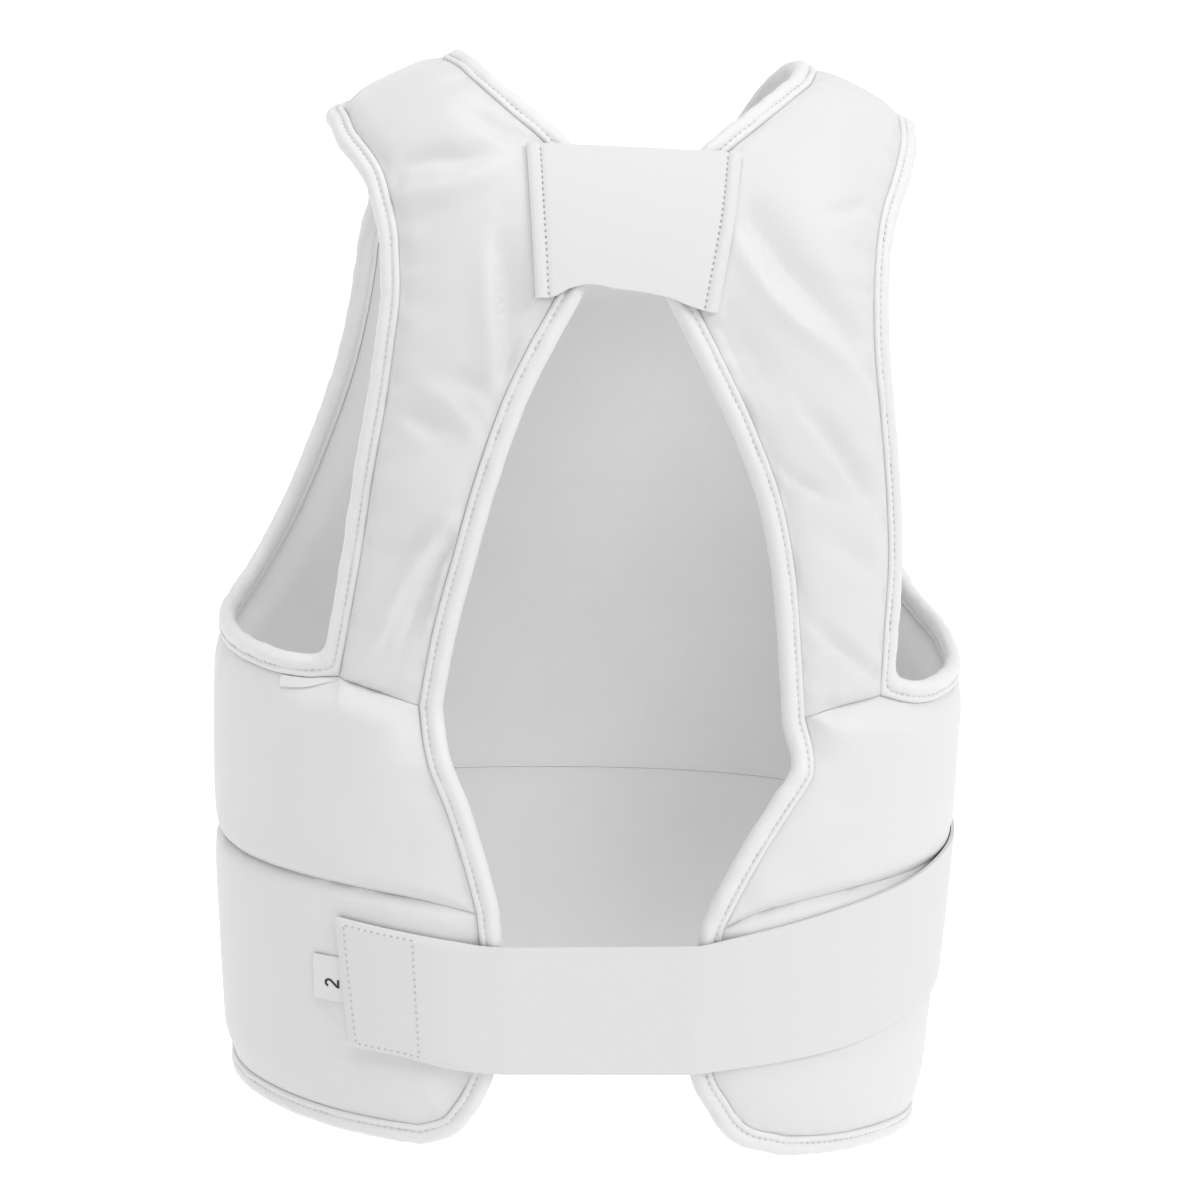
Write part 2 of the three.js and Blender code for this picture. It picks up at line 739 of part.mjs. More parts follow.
function armholeOutline(side) {
  const bibColumn = side === 'left' ? 0 : -1;
  return joinedOutline([
    armholeStretch[side],
    columnOf(grids.bib, bibColumn).slice(1),
    columnOf(grids[side], -1),
  ]);
}

function outerOutline() {
  const neckline = grids.bib.at(-1).slice(seamColumns, frontColumns - seamColumns + 1);
  return joinedOutline([
    neckline,
    columnOf(grids.right, 0),
    columnOf(grids.chest, -1).reverse(),
    columnOf(grids.abdomen, -1).slice(0, -1),
    grids.abdomen.at(-1).slice().reverse(),
    columnOf(grids.abdomen, 0).slice(0, -1).reverse(),
    columnOf(grids.chest, 0),
    columnOf(grids.left, 0).slice().reverse(),
  ]);
}

// Elastics, the hook patch and the label lie in layers on the padding
const layer = {
  patch: panelThickness + elasticClearance,
  waist: panelThickness + elasticClearance,
  upper: strapThickness + elasticClearance,
};

function onBack(turn, z) {
  return around(turn <= 0 ? -1 - turn : 1 - turn, z);
}

const waistTop = curveThrough(waistBand, 'turn', 'top');
const waistBottom = curveThrough(waistBand, 'turn', 'bottom');

function waistPlace(turn, down, lift) {
  const z = -mix(waistTop(turn), waistBottom(turn), down) * garmentLength;
  return lifted(onBack(turn, z), lift);
}

// The elastic steps up over the hook patch, and runs straight across the open back
function waistLift(turn) {
  const step = patchThickness + elasticClearance;
  const share = clamp((turn - patchTurns.to) / (waistSpan.from - patchTurns.to), 0, 1);
  return layer.waist + step * (1 - ease(share));
}

function waistTurns(down) {
  const start = waistBand[0].turn + waistEndSlant * (down - 0.5);
  const end = waistBand.at(-1).turn;
  return [
    ...evenly(waistColumns.left).map((s) => mix(start, waistSpan.from, s)),
    ...evenly(waistColumns.open).slice(1).map((s) => mix(waistSpan.from, waistSpan.to, s)),
    ...evenly(waistColumns.right).slice(1).map((s) => mix(waistSpan.to, end, s)),
  ];
}

function waistGrid() {
  return evenly(waistRows).map((down) => waistTurns(down).map((turn) => {
    if (turn <= waistSpan.from || turn >= waistSpan.to) return waistPlace(turn, down, waistLift(turn));
    const share = (turn - waistSpan.from) / (waistSpan.to - waistSpan.from);
    const left = waistPlace(waistSpan.from, down, waistLift(waistSpan.from));
    const right = waistPlace(waistSpan.to, down, waistLift(waistSpan.to));
    return blended(left, right, share);
  }));
}

function upperGrid() {
  const run = curveThrough(upperBand, 'down', 'run');
  const left = curveThrough(upperBand, 'down', 'left');
  const right = curveThrough(upperBand, 'down', 'right');
  return evenly(upperRows).map((down) => evenly(upperColumns).map((share) => {
    const x = mix(left(down), right(down), share) * trunkHalfWidth;
    const length = run(down) * mix(backRun.leftNeck, backRun.rightNeck, share);
    return lifted(over(x, length), layer.upper);
  }));
}

function patchGrid() {
  const bandHeight = garmentLength * (waistBottom(patchTurns.from) - waistTop(patchTurns.from));
  const inset = patchInset / bandHeight;
  return patchRows.map((down) => evenly(patchColumns).map((share) => (
    waistPlace(mix(patchTurns.from, patchTurns.to, share), mix(inset, 1 - inset, down), layer.patch)
  )));
}

function labelGrid() {
  const bandEnd = waistBand[0].turn;
  const from = bandEnd - labelShowing / halfGirth;
  const to = Math.min(bandEnd + labelTuck / halfGirth, patchTurns.from - 2 * seamGap / halfGirth);
  const middle = -mix(waistTop(bandEnd), waistBottom(bandEnd), 0.5) * garmentLength;
  return evenly(labelRows).map((down) => evenly(labelColumns).map((share) => (
    lifted(onBack(mix(from, to, share), middle + labelHeight * (0.5 - down)), layer.patch)
  )));
}

// Finishes, all white: smooth cover cloth, satin strap cloth, ribbed elastic and tapes
const coverCloth = { color: 0xe9eaeb, roughness: 0.62, metalness: 0 };
const strapCloth = { color: 0xe6e7e8, roughness: 0.5, metalness: 0 };
const bindingTape = { color: 0xf1f1f2, roughness: 0.55, metalness: 0 };
const ribbedElastic = { color: 0xefeff0, roughness: 0.8, metalness: 0 };
const hookTape = { color: 0xe4e4e4, roughness: 0.9, metalness: 0 };
const labelCloth = { color: 0xf6f6f6, roughness: 0.7, metalness: 0 };

const group = new THREE.Group();
group.add(
  wall('chest_panel', [grids.chest, grids.bib], panelThickness, panelBorders, coverCloth),
  wall('abdomen_panel', [grids.abdomen], panelThickness, panelBorders, coverCloth),
  wall('shoulder_strap_left', [grids.left], strapThickness, strapBorders, strapCloth),
  wall('shoulder_strap_right', [grids.right], strapThickness, strapBorders, strapCloth),
  binding('armhole_binding_left', armholeOutline('left'), 1, bindingTape),
  binding('armhole_binding_right', armholeOutline('right'), -1, bindingTape),
  binding('outer_binding', outerOutline(), 1, bindingTape),
  wall('upper_back_elastic', [upperGrid()], elasticThickness, null, ribbedElastic),
  wall('waist_elastic', [waistGrid()], elasticThickness, null, ribbedElastic),
  wall('hook_patch', [patchGrid()], patchThickness, null, hookTape),
  wall('size_label', [labelGrid()], labelThickness, null, labelCloth),
);

export default group;
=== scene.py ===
import math

import bpy
import numpy as np
from mathutils import Matrix, Vector, kdtree


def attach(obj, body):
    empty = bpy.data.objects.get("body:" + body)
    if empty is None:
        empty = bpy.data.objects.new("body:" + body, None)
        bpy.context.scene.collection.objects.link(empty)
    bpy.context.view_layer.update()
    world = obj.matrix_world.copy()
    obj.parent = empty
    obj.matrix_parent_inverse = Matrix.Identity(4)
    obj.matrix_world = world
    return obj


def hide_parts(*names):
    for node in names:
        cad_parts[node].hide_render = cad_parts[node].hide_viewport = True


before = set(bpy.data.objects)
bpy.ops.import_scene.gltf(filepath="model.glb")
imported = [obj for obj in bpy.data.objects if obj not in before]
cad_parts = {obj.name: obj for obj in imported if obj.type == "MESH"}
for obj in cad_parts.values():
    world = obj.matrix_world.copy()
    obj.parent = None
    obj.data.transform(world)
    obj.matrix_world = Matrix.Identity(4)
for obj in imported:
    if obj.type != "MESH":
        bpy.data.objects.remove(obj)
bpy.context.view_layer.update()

# Looks of a padded torso protector that is worn open at the back. The wearer faces +Y and
# +X is the wearer's right. Lengths here are in millimetres and meshes are made in metres.
MM = 0.001

# Trunk form that the lining lies on
TRUNK_HALF_WIDTH = 146.0
TRUNK_BACK_DEPTH = 100.0
TRUNK_FRONT_DEPTH = 104.0
TRUNK_SQUARENESS = 2.3
GARMENT_LENGTH = 430.0
WAIST_TAPER = 0.06
TAPER_START = 250.0
LOWEST_NARROWING = 1.3

# Shoulder ridge, and the arch from the ridge down to full depth
RIDGE_HALF_FLAT = 72.0
RIDGE_LEAN = 7.0
RIDGE_SOFTNESS = 12.0
SHOULDER_FALL = 0.56
ARCH_DROP = 150.0
ARCH_SQUARENESS = 2.2
HEART_SHARE = 0.8

# Walls, seams and bindings
PANEL_THICKNESS = 12.0
STRAP_THICKNESS = 6.0
STITCHED_THICKNESS = 4.0
SEAM_GAP = 0.4
SEAM_SLIT = 0.14
BINDING_GAP = 0.4
BOUND, PANEL_SEAM, STRAP_SEAM = 0, 1, 2
PANEL_BORDERS = {BOUND: (STITCHED_THICKNESS, 15.0), PANEL_SEAM: (9.5, 6.0), STRAP_SEAM: (5.6, 12.0)}
STRAP_BORDERS = {BOUND: (STITCHED_THICKNESS, 9.0), STRAP_SEAM: (5.2, 4.0)}

# The bound edge of a panel stands off the lining, less and less towards the strap seams
EDGE_LIFT = 6.0
EDGE_LIFT_REACH = 28.0

# Run of each strap edge, over the ridge, to its seam on the back and on the chest
BACK_RUN = {"left_neck": 294, "left_arm": 270, "right_neck": 304, "right_arm": 284}
CHEST_RUN = {"left_neck": 112, "left_arm": 104, "right_neck": 112, "right_arm": 104}

# Front neckline and the armholes
NECKLINE_DROP = 40.0
BIB_SIDE_SHARE = 0.43
SEAM_SHARE = 6 / 22

# Elastics and what is sewn to them
ELASTIC_THICKNESS = 1.6
ELASTIC_CLEARANCE = 0.5
PATCH_THICKNESS = 1.2
LABEL_THICKNESS = 0.6
LABEL_SHOWING = 13.0
LABEL_HEIGHT = 19.0
LABEL_TUCK = 4.0
WAIST_SPAN = (-0.105, 0.085)
WAIST_END_SLANT = 0.012
PATCH_TURNS = (-0.255, -0.176)
PATCH_INSET = 3.0
LABEL_WIDTH = 15.8
NUMERAL_ACROSS, NUMERAL_DOWN, NUMERAL_STROKE = 0.5, 0.595, 0.95

# Strap edges: shares of the trunk's half width at shares of each edge's run
STRAP_EDGES = {
    "run": (-1.0, -0.65, -0.3, 0.0, 0.1, 0.15, 0.2, 0.25, 0.3, 0.36, 0.42, 0.47, 0.53, 0.6, 0.7, 0.8, 0.9, 1.0),
    "left_neck": (-0.3, -0.36, -0.43, -0.464, -0.423, -0.38, -0.312, -0.225, -0.171, -0.151, -0.166,
                  -0.211, -0.275, -0.339, -0.404, -0.455, -0.504, -0.536),
    "left_arm": (-0.58, -0.61, -0.68, -0.736, -0.725, -0.711, -0.68, -0.649, -0.63, -0.611, -0.605,
                 -0.605, -0.618, -0.634, -0.664, -0.688, -0.714, -0.743),
    "right_neck": (0.42, 0.5, 0.56, 0.575, 0.538, 0.476, 0.384, 0.274, 0.185, 0.127, 0.14,
                   0.192, 0.257, 0.332, 0.421, 0.473, 0.5, 0.522),
    "right_arm": (0.68, 0.71, 0.77, 0.808, 0.8, 0.788, 0.767, 0.74, 0.71, 0.688, 0.678,
                  0.677, 0.684, 0.704, 0.732, 0.75, 0.747, 0.743),
}
# Back edges of the wings: shares of the half girth nearer the back centre
UPPER_WING_EDGES = {
    "rise": (0.0, 0.25, 0.5, 0.62, 0.7, 0.85, 1.0),
    "left": (0.063, 0.0485, 0.0313, 0.021, 0.0145, 0.0055, 0.0),
    "right": (0.079, 0.05, 0.019, 0.0035, -0.0055, -0.0065, 0.0),
}
LOWER_WING_EDGES = {
    "fall": (0.0, 0.2, 0.4, 0.6, 0.72, 0.82, 0.9, 0.96, 1.0),
    "left": (0.0, 0.004, 0.003, 0.002, -0.003, -0.012, -0.023, -0.035, -0.059),
    "right": (0.0, 0.006, 0.008, 0.0055, -0.003, -0.018, -0.031, -0.051, -0.086),
}
# Horizontal seam and hem: drops by the turn from the front centre
SEAM_LINE = {
    "turn": (-0.91, -0.79, -0.6, 0.0, 0.6, 0.745, 0.85, 0.91),
    "drop": (0.786, 0.766, 0.759, 0.759, 0.759, 0.763, 0.777, 0.802),
}
HEM_LINE = {
    "turn": (-0.82, -0.74, -0.6, -0.4, 0.0, 0.4, 0.57, 0.67, 0.745, 0.81),
    "drop": (0.993, 0.99, 0.983, 0.986, 1.0, 1.015, 1.023, 1.017, 1.013, 1.006),
}
ARMHOLE_FLOOR = {
    "back": (0.0, 0.14, 0.3, 0.6, 1.0),
    "left": (0.569, 0.57, 0.569, 0.565, 0.56),
    "right": (0.58, 0.592, 0.593, 0.588, 0.566),
}
BIB_SIDES = {
    "climb": (0.0, 0.16, 0.32, 0.48, 0.66, 0.84, 1.0),
    "inward": (0.0, 0.053, 0.104, 0.145, 0.18, 0.2, 0.205),
    "height": (0.0, 0.05, 0.17, 0.34, 0.55, 0.78, 1.0),
}
# Elastics: the waist one by its turn from the back centre, the upper one from its top edge
WAIST_BAND = {
    "turn": (-0.264, -0.206, -0.158, -0.12, 0.0, 0.08, 0.126, 0.187, 0.253, 0.318, 0.386, 0.45, 0.52, 0.6),
    "top": (0.792, 0.798, 0.803, 0.807, 0.808, 0.806, 0.798, 0.787, 0.775, 0.764, 0.751, 0.743, 0.738, 0.735),
    "bottom": (0.917, 0.921, 0.929, 0.932, 0.934, 0.933, 0.929, 0.925, 0.919, 0.908, 0.897, 0.882, 0.87, 0.864),
}
UPPER_BAND = {
    "down": (0.0, 0.4, 1.0),
    "run": (0.257, 0.345, 0.467),
    "left": (-0.276, -0.269, -0.257),
    "right": (0.306, 0.278, 0.228),
}

# Lower edge of the upper elastic, drawn up between the straps: mm by the share across
UPPER_EDGE = {
    "share": (0.0, 0.1, 0.19, 0.3, 0.44, 0.56, 0.74, 0.84, 0.95, 1.0),
    "drawn": (0.0, 1.2, 4.9, 7.0, 6.1, 5.8, 4.2, 2.0, 0.2, 0.0),
}

# Cells of the fine meshes
WING_CELLS = 40
SIDE_CELLS = 46
FRONT_CELLS = 132
CHEST_CELLS = 36
ABDOMEN_CELLS = 44
BIB_CELLS = 76
STRAP_CELLS = 40
STRAP_RUN_CELLS = (150, 56)
TABLE_STEPS = 4000


def mix(first, second, share):
    return first + (second - first) * share


def smooth(low, high, value):
    share = np.clip((value - low) / (high - low), 0, 1)
    return share * share * (3 - 2 * share)


def evenly(count):
    return np.linspace(0, 1, count + 1)


def eased(count, pull=0.45):
    """Shares from 0 to 1 that are closer together near both ends."""
    share = evenly(count)
    return share - pull * np.sin(2 * math.pi * share) / (2 * math.pi)


def through(table, along, column):
    """Smooth curve through one column of a table."""
    xs = np.array(table[along], float)
    ys = np.array(table[column], float)
    order = np.arange(len(xs))
    before = np.maximum(order - 1, 0)
    after = np.minimum(order + 1, len(xs) - 1)
    slope = (ys[after] - ys[before]) / (xs[after] - xs[before])

    def read(at):
        at = np.clip(at, xs[0], xs[-1])
        i = np.clip(np.searchsorted(xs, at, side="right") - 1, 0, len(xs) - 2)
        span = xs[i + 1] - xs[i]
        s = (at - xs[i]) / span
        lower = ys[i] * (1 + 2 * s) + slope[i] * span * s
        upper = ys[i + 1] * (3 - 2 * s) + slope[i + 1] * span * (s - 1)
        return lower * (1 - s) ** 2 + upper * s**2

    return read


def running_length(*columns):
    steps = np.sqrt(sum(np.diff(column) ** 2 for column in columns))
    return np.concatenate([[0], np.cumsum(steps)])


def arch_profile(depth):
    angle = np.linspace(0, math.pi / 2, TABLE_STEPS + 1)
    drop = ARCH_DROP * (1 - np.maximum(np.cos(angle), 0) ** (2 / ARCH_SQUARENESS))
    share = np.sin(angle) ** (2 / ARCH_SQUARENESS)
    return running_length(drop, depth * share), drop


BACK_ARCH = arch_profile(TRUNK_BACK_DEPTH)
CHEST_ARCH = arch_profile(TRUNK_FRONT_DEPTH)


def drop_at_run(run):
    def along(arch):
        return np.interp(np.abs(run), *arch) + np.maximum(np.abs(run) - arch[0][-1], 0)

    return np.where(run >= 0, along(BACK_ARCH), along(CHEST_ARCH))


def arch_share(drop):
    left = 1 - np.clip(drop / ARCH_DROP, 0, 1)
    return (1 - left**ARCH_SQUARENESS) ** (1 / ARCH_SQUARENESS)


def level_section():
    angle = np.linspace(0, math.pi, 2 * TABLE_STEPS + 1)
    across = np.cos(angle)
    depth = np.where(across > 0, -TRUNK_BACK_DEPTH, TRUNK_FRONT_DEPTH)
    x = TRUNK_HALF_WIDTH * np.maximum(np.sin(angle), 0) ** (2 / TRUNK_SQUARENESS)
    y = depth * np.abs(across) ** (2 / TRUNK_SQUARENESS)
    return running_length(x, y), x, y


SECTION_LENGTH, SECTION_X, SECTION_Y = level_section()
HALF_GIRTH = SECTION_LENGTH[-1]
BACK_HALF = slice(0, TABLE_STEPS + 1)
FRONT_HALF = slice(None, TABLE_STEPS - 1, -1)


def back_share_at(x):
    return np.interp(np.abs(x), SECTION_X[BACK_HALF], SECTION_LENGTH[BACK_HALF]) / HALF_GIRTH


def front_share_at(x):
    return 1 - np.interp(np.abs(x), SECTION_X[FRONT_HALF], SECTION_LENGTH[FRONT_HALF]) / HALF_GIRTH


def ridge_height(x):
    past = np.abs(x - RIDGE_LEAN) - RIDGE_HALF_FLAT
    return -SHOULDER_FALL * (past + np.hypot(past, RIDGE_SOFTNESS)) / 2


def narrowing(z):
    share = np.clip((-z - TAPER_START) / (GARMENT_LENGTH - TAPER_START), 0, LOWEST_NARROWING)
    return 1 - WAIST_TAPER * share * share


def lining_around(turn, z):
    """Lining point by its turn from the front centre and its height."""
    length = (1 - np.abs(turn)) * HALF_GIRTH
    x = np.sign(turn) * np.interp(length, SECTION_LENGTH, SECTION_X)
    y = np.interp(length, SECTION_LENGTH, SECTION_Y) * arch_share(ridge_height(x) - z)
    narrow = narrowing(z)
    return np.stack([x * narrow, y * narrow, z * np.ones_like(x)], -1)


def lining_over(x, run):
    """Lining point by its place across and its run over the ridge."""
    drop = drop_at_run(run)
    z = ridge_height(x) - drop
    bulge = (1 - np.abs(x / TRUNK_HALF_WIDTH) ** TRUNK_SQUARENESS) ** (1 / TRUNK_SQUARENESS)
    depth = np.where(run >= 0, -TRUNK_BACK_DEPTH, TRUNK_FRONT_DEPTH)
    narrow = narrowing(z)
    return np.stack([x * narrow, depth * bulge * arch_share(drop) * narrow, z], -1)


def unit(vectors):
    return vectors / np.maximum(np.linalg.norm(vectors, axis=-1, keepdims=True), 1e-9)


def facing(lining, a, b, step_a, step_b):
    """Lining points, and the directions that face out of the trunk there."""
    a, b = np.broadcast_arrays(np.asarray(a, float), np.asarray(b, float))
    at = lining(a, b)
    along_a = lining(a + step_a, b) - lining(a - step_a, b)
    along_b = lining(a, b + step_b) - lining(a, b - step_b)
    out = unit(np.cross(along_a, along_b))
    heart = np.zeros_like(at)
    heart[..., 2] = np.minimum(at[..., 2], -ARCH_DROP * HEART_SHARE)
    out[np.sum(out * (at - heart), -1) < 0] *= -1
    return at, out


def around(turn, z):
    return facing(lining_around, turn, z, 0.0015, 0.4)


def over(x, run):
    return facing(lining_over, x, run, 0.4, 0.8)


def on_back(turn, z):
    return around(np.where(turn <= 0, -1 - turn, 1 - turn), z)


# Straps, and where their seams meet the panels
STRAP_X = {}
for edge in ("left_neck", "left_arm", "right_neck", "right_arm"):
    STRAP_X[edge] = through(STRAP_EDGES, "run", edge)


def strap_place(side, run, across, gap):
    neck, arm = side + "_neck", side + "_arm"
    x = mix(STRAP_X[neck](run), STRAP_X[arm](run), across) * TRUNK_HALF_WIDTH
    back = mix(BACK_RUN[neck], BACK_RUN[arm], across)
    chest = mix(CHEST_RUN[neck], CHEST_RUN[arm], across)
    trim = np.where(np.abs(run) == 1, np.sign(run) * gap, 0)
    return x, run * np.where(run >= 0, back, chest) - trim


def strap_seam(side, run, across):
    x, length = strap_place(side, np.asarray(run, float), across, -SEAM_SLIT / 2)
    share = np.where(np.asarray(run) > 0, 1 - back_share_at(x), front_share_at(x))
    return np.sign(x) * share, ridge_height(x) - drop_at_run(length)


SIGN = {"left": -1.0, "right": 1.0}
CORNER = {}
for side in SIGN:
    for edge, across in (("neck", 0.0), ("arm", 1.0)):
        CORNER[side, edge] = [float(value) for value in strap_seam(side, 1.0, across)]
SEAM_DROP = through(SEAM_LINE, "turn", "drop")
HEM_DROP = through(HEM_LINE, "turn", "drop")
FLOORS = {side: through(ARMHOLE_FLOOR, "back", side) for side in SIGN}
UPPER_EDGES = {side: through(UPPER_WING_EDGES, "rise", side) for side in SIGN}
LOWER_EDGES = {side: through(LOWER_WING_EDGES, "fall", side) for side in SIGN}
BIB_INWARD = through(BIB_SIDES, "climb", "inward")
BIB_HEIGHT = through(BIB_SIDES, "climb", "height")


def seam_height(turn):
    return -SEAM_DROP(turn) * GARMENT_LENGTH


def upper_wing_turn(side, rise):
    return CORNER[side, "neck"][0] + SIGN[side] * UPPER_EDGES[side](rise)


def lower_wing_turn(side, fall):
    return upper_wing_turn(side, 0.0) + SIGN[side] * LOWER_EDGES[side](fall)


def floor_height(side, share):
    """Bottom of an armhole, brought to the strap's corner at its back end."""
    table = -FLOORS[side](share) * GARMENT_LENGTH
    lift = CORNER[side, "arm"][1] + FLOORS[side](0.0) * GARMENT_LENGTH
    return table + lift * (1 - smooth(0, 0.12, share))


def row_turns(left_edge, right_edge):
    wing, side = eased(WING_CELLS), evenly(SIDE_CELLS)
    parts = [
        mix(left_edge, CORNER["left", "arm"][0], wing),
        mix(CORNER["left", "arm"][0], -BIB_SIDE_SHARE, side)[1:] + 0 * left_edge,
        mix(-BIB_SIDE_SHARE, BIB_SIDE_SHARE, evenly(FRONT_CELLS))[1:] + 0 * left_edge,
        mix(BIB_SIDE_SHARE, CORNER["right", "arm"][0], side)[1:] + 0 * left_edge,
        mix(CORNER["right", "arm"][0], right_edge, wing)[:, 1:],
    ]
    return np.concatenate(parts, 1)


def band_tops():
    wing, side = eased(WING_CELLS), evenly(SIDE_CELLS)
    front = mix(floor_height("left", 1.0), floor_height("right", 1.0), evenly(FRONT_CELLS))
    parts = [
        strap_seam("left", 1.0, wing)[1],
        floor_height("left", side)[1:],
        front[1:],
        floor_height("right", 1 - side)[1:],
        strap_seam("right", 1.0, 1 - wing)[1][1:],
    ]
    return np.concatenate(parts)


def bib_top(share):
    left_turn, left_z = strap_seam("left", -1.0, 0.0)
    right_turn, right_z = strap_seam("right", -1.0, 0.0)
    angle = math.pi * np.clip((share - SEAM_SHARE) / (1 - 2 * SEAM_SHARE), 0, 1)
    across = (1 - np.cos(angle)) / 2
    turn = mix(left_turn, right_turn, across)
    z = mix(left_z, right_z, across) - NECKLINE_DROP * np.sin(angle)
    on_left = strap_seam("left", -1.0, np.clip(1 - share / SEAM_SHARE, 0, 1))
    on_right = strap_seam("right", -1.0, np.clip((share - 1 + SEAM_SHARE) / SEAM_SHARE, 0, 1))
    first, last = share <= SEAM_SHARE + 1e-9, share >= 1 - SEAM_SHARE - 1e-9
    turn = np.where(first, on_left[0], np.where(last, on_right[0], turn))
    return turn, np.where(first, on_left[1], np.where(last, on_right[1], z))


def bib_side(side, climb):
    head_turn, head_z = strap_seam(side, -1.0, 1.0)
    reach = (BIB_SIDE_SHARE - np.abs(head_turn)) / BIB_INWARD(1.0)
    turn = SIGN[side] * (BIB_SIDE_SHARE - BIB_INWARD(climb) * reach)
    return turn, mix(floor_height(side, 1.0), head_z, BIB_HEIGHT(climb))


def bib_places():
    climb, share = evenly(BIB_CELLS)[:, None], evenly(FRONT_CELLS)[None]
    foot = (
        mix(-BIB_SIDE_SHARE, BIB_SIDE_SHARE, share),
        mix(floor_height("left", 1.0), floor_height("right", 1.0), share),
    )
    top, left, right = bib_top(share), bib_side("left", climb), bib_side("right", climb)
    placed = []
    for k in range(2):
        ends = mix(
            mix(foot[k][:, :1], foot[k][:, -1:], share), mix(top[k][:, :1], top[k][:, -1:], share), climb
        )
        placed.append(mix(foot[k], top[k], climb) + mix(left[k], right[k], share) - ends)
    return placed


class Patch:
    """A grid of lining places with its chart coordinates in millimetres."""

    def __init__(self, places, u, v):
        self.at, self.out = places
        self.u = np.broadcast_to(u, self.at.shape[:2])
        self.v = np.broadcast_to(v, self.at.shape[:2])
        self.meets = np.zeros(self.at.shape[:2], int)
        self.lift = np.zeros(self.at.shape[:2])


def chest_patch():
    rise = eased(CHEST_CELLS)[:, None]
    turn = row_turns(upper_wing_turn("left", rise), upper_wing_turn("right", rise))
    z = mix(seam_height(turn) + SEAM_SLIT / 2, band_tops(), rise)
    patch = Patch(around(turn, z), turn * HALF_GIRTH, z)
    patch.meets[0] = PANEL_SEAM
    patch.meets[-1, : WING_CELLS + 1] = STRAP_SEAM
    patch.meets[-1, -WING_CELLS - 1 :] = STRAP_SEAM
    return patch


def abdomen_patch():
    fall = eased(ABDOMEN_CELLS)[:, None]
    turn = row_turns(lower_wing_turn("left", fall), lower_wing_turn("right", fall))
    z = mix(seam_height(turn) - SEAM_SLIT / 2, -HEM_DROP(turn) * GARMENT_LENGTH, fall)
    patch = Patch(around(turn, z), turn * HALF_GIRTH, z)
    patch.meets[0] = PANEL_SEAM
    return patch


def bib_patch():
    turn, z = bib_places()
    patch = Patch(around(turn, z), turn * HALF_GIRTH, z)
    seam = round(SEAM_SHARE * FRONT_CELLS)
    patch.meets[-1, : seam + 1] = STRAP_SEAM
    patch.meets[-1, -seam - 1 :] = STRAP_SEAM
    return patch


def strap_patch(side):
    back_cells, chest_cells = STRAP_RUN_CELLS
    run = np.concatenate([evenly(chest_cells) - 1, evenly(back_cells)[1:]])[:, None]
    x, length = strap_place(side, run, eased(STRAP_CELLS)[None], SEAM_SLIT / 2)
    patch = Patch(over(x, length), x, length)
    patch.meets[0] = patch.meets[-1] = STRAP_SEAM
    return patch


def nearest_of(spots, points):
    """Distance of each point to the nearest of the spots, and that spot's number."""
    tree = kdtree.KDTree(len(spots))
    for k, spot in enumerate(spots):
        tree.insert(spot, k)
    tree.balance()
    found = [tree.find(point) for point in points.reshape(-1, 3)]
    return np.array([item[2] for item in found]), np.array([item[1] for item in found])


CHEST, BIB, ABDOMEN = chest_patch(), bib_patch(), abdomen_patch()
STRAPS = {side: strap_patch(side) for side in SIGN}
strap_seams = np.concatenate([patch.at[patch.meets == STRAP_SEAM] for patch in (CHEST, BIB)])
for patch in (CHEST, BIB, ABDOMEN):
    seam_distance = nearest_of(strap_seams, patch.at)[0].reshape(patch.lift.shape)
    patch.lift = EDGE_LIFT * smooth(0, EDGE_LIFT_REACH, seam_distance)


def waves(points, length, seed, terms=10):
    """Soft uneven field of about -1 to 1 with bumps of roughly the given length."""
    rng = np.random.default_rng(seed)
    total = np.zeros(points.shape[:-1])
    for _ in range(terms):
        direction = unit(rng.normal(size=3))
        pitch = length * rng.uniform(0.75, 1.6)
        total += np.sin(points @ direction * (2 * math.pi / pitch) + rng.uniform(0, 2 * math.pi))
    return total / math.sqrt(terms)


# Node materials

def node(tree, kind, inputs=(), **settings):
    made = tree.nodes.new("ShaderNode" + kind)
    for key, value in settings.items():
        setattr(made, key, value)
    for name, value in dict(inputs).items():
        socket = made.inputs[name]
        if isinstance(value, bpy.types.NodeSocket):
            tree.links.new(value, socket)
        else:
            socket.default_value = value
    return made


def maths(tree, operation, *values):
    made = node(tree, "Math", operation=operation)
    for k, value in enumerate(values):
        if isinstance(value, bpy.types.NodeSocket):
            tree.links.new(value, made.inputs[k])
        else:
            made.inputs[k].default_value = value
    return made.outputs[0]


def scaled(tree, low, high, value):
    """The value, which is from 0 to 1, brought to low to high."""
    return maths(tree, "MULTIPLY_ADD", value, high - low, low)


def thread_lines(tree, coordinate, pitch):
    """Rounded lines, from 0 to 1, with that pitch in millimetres."""
    wave = maths(tree, "SINE", maths(tree, "MULTIPLY", coordinate, 2 * math.pi / (pitch * MM)))
    return scaled(tree, 0.5, 1.0, wave)


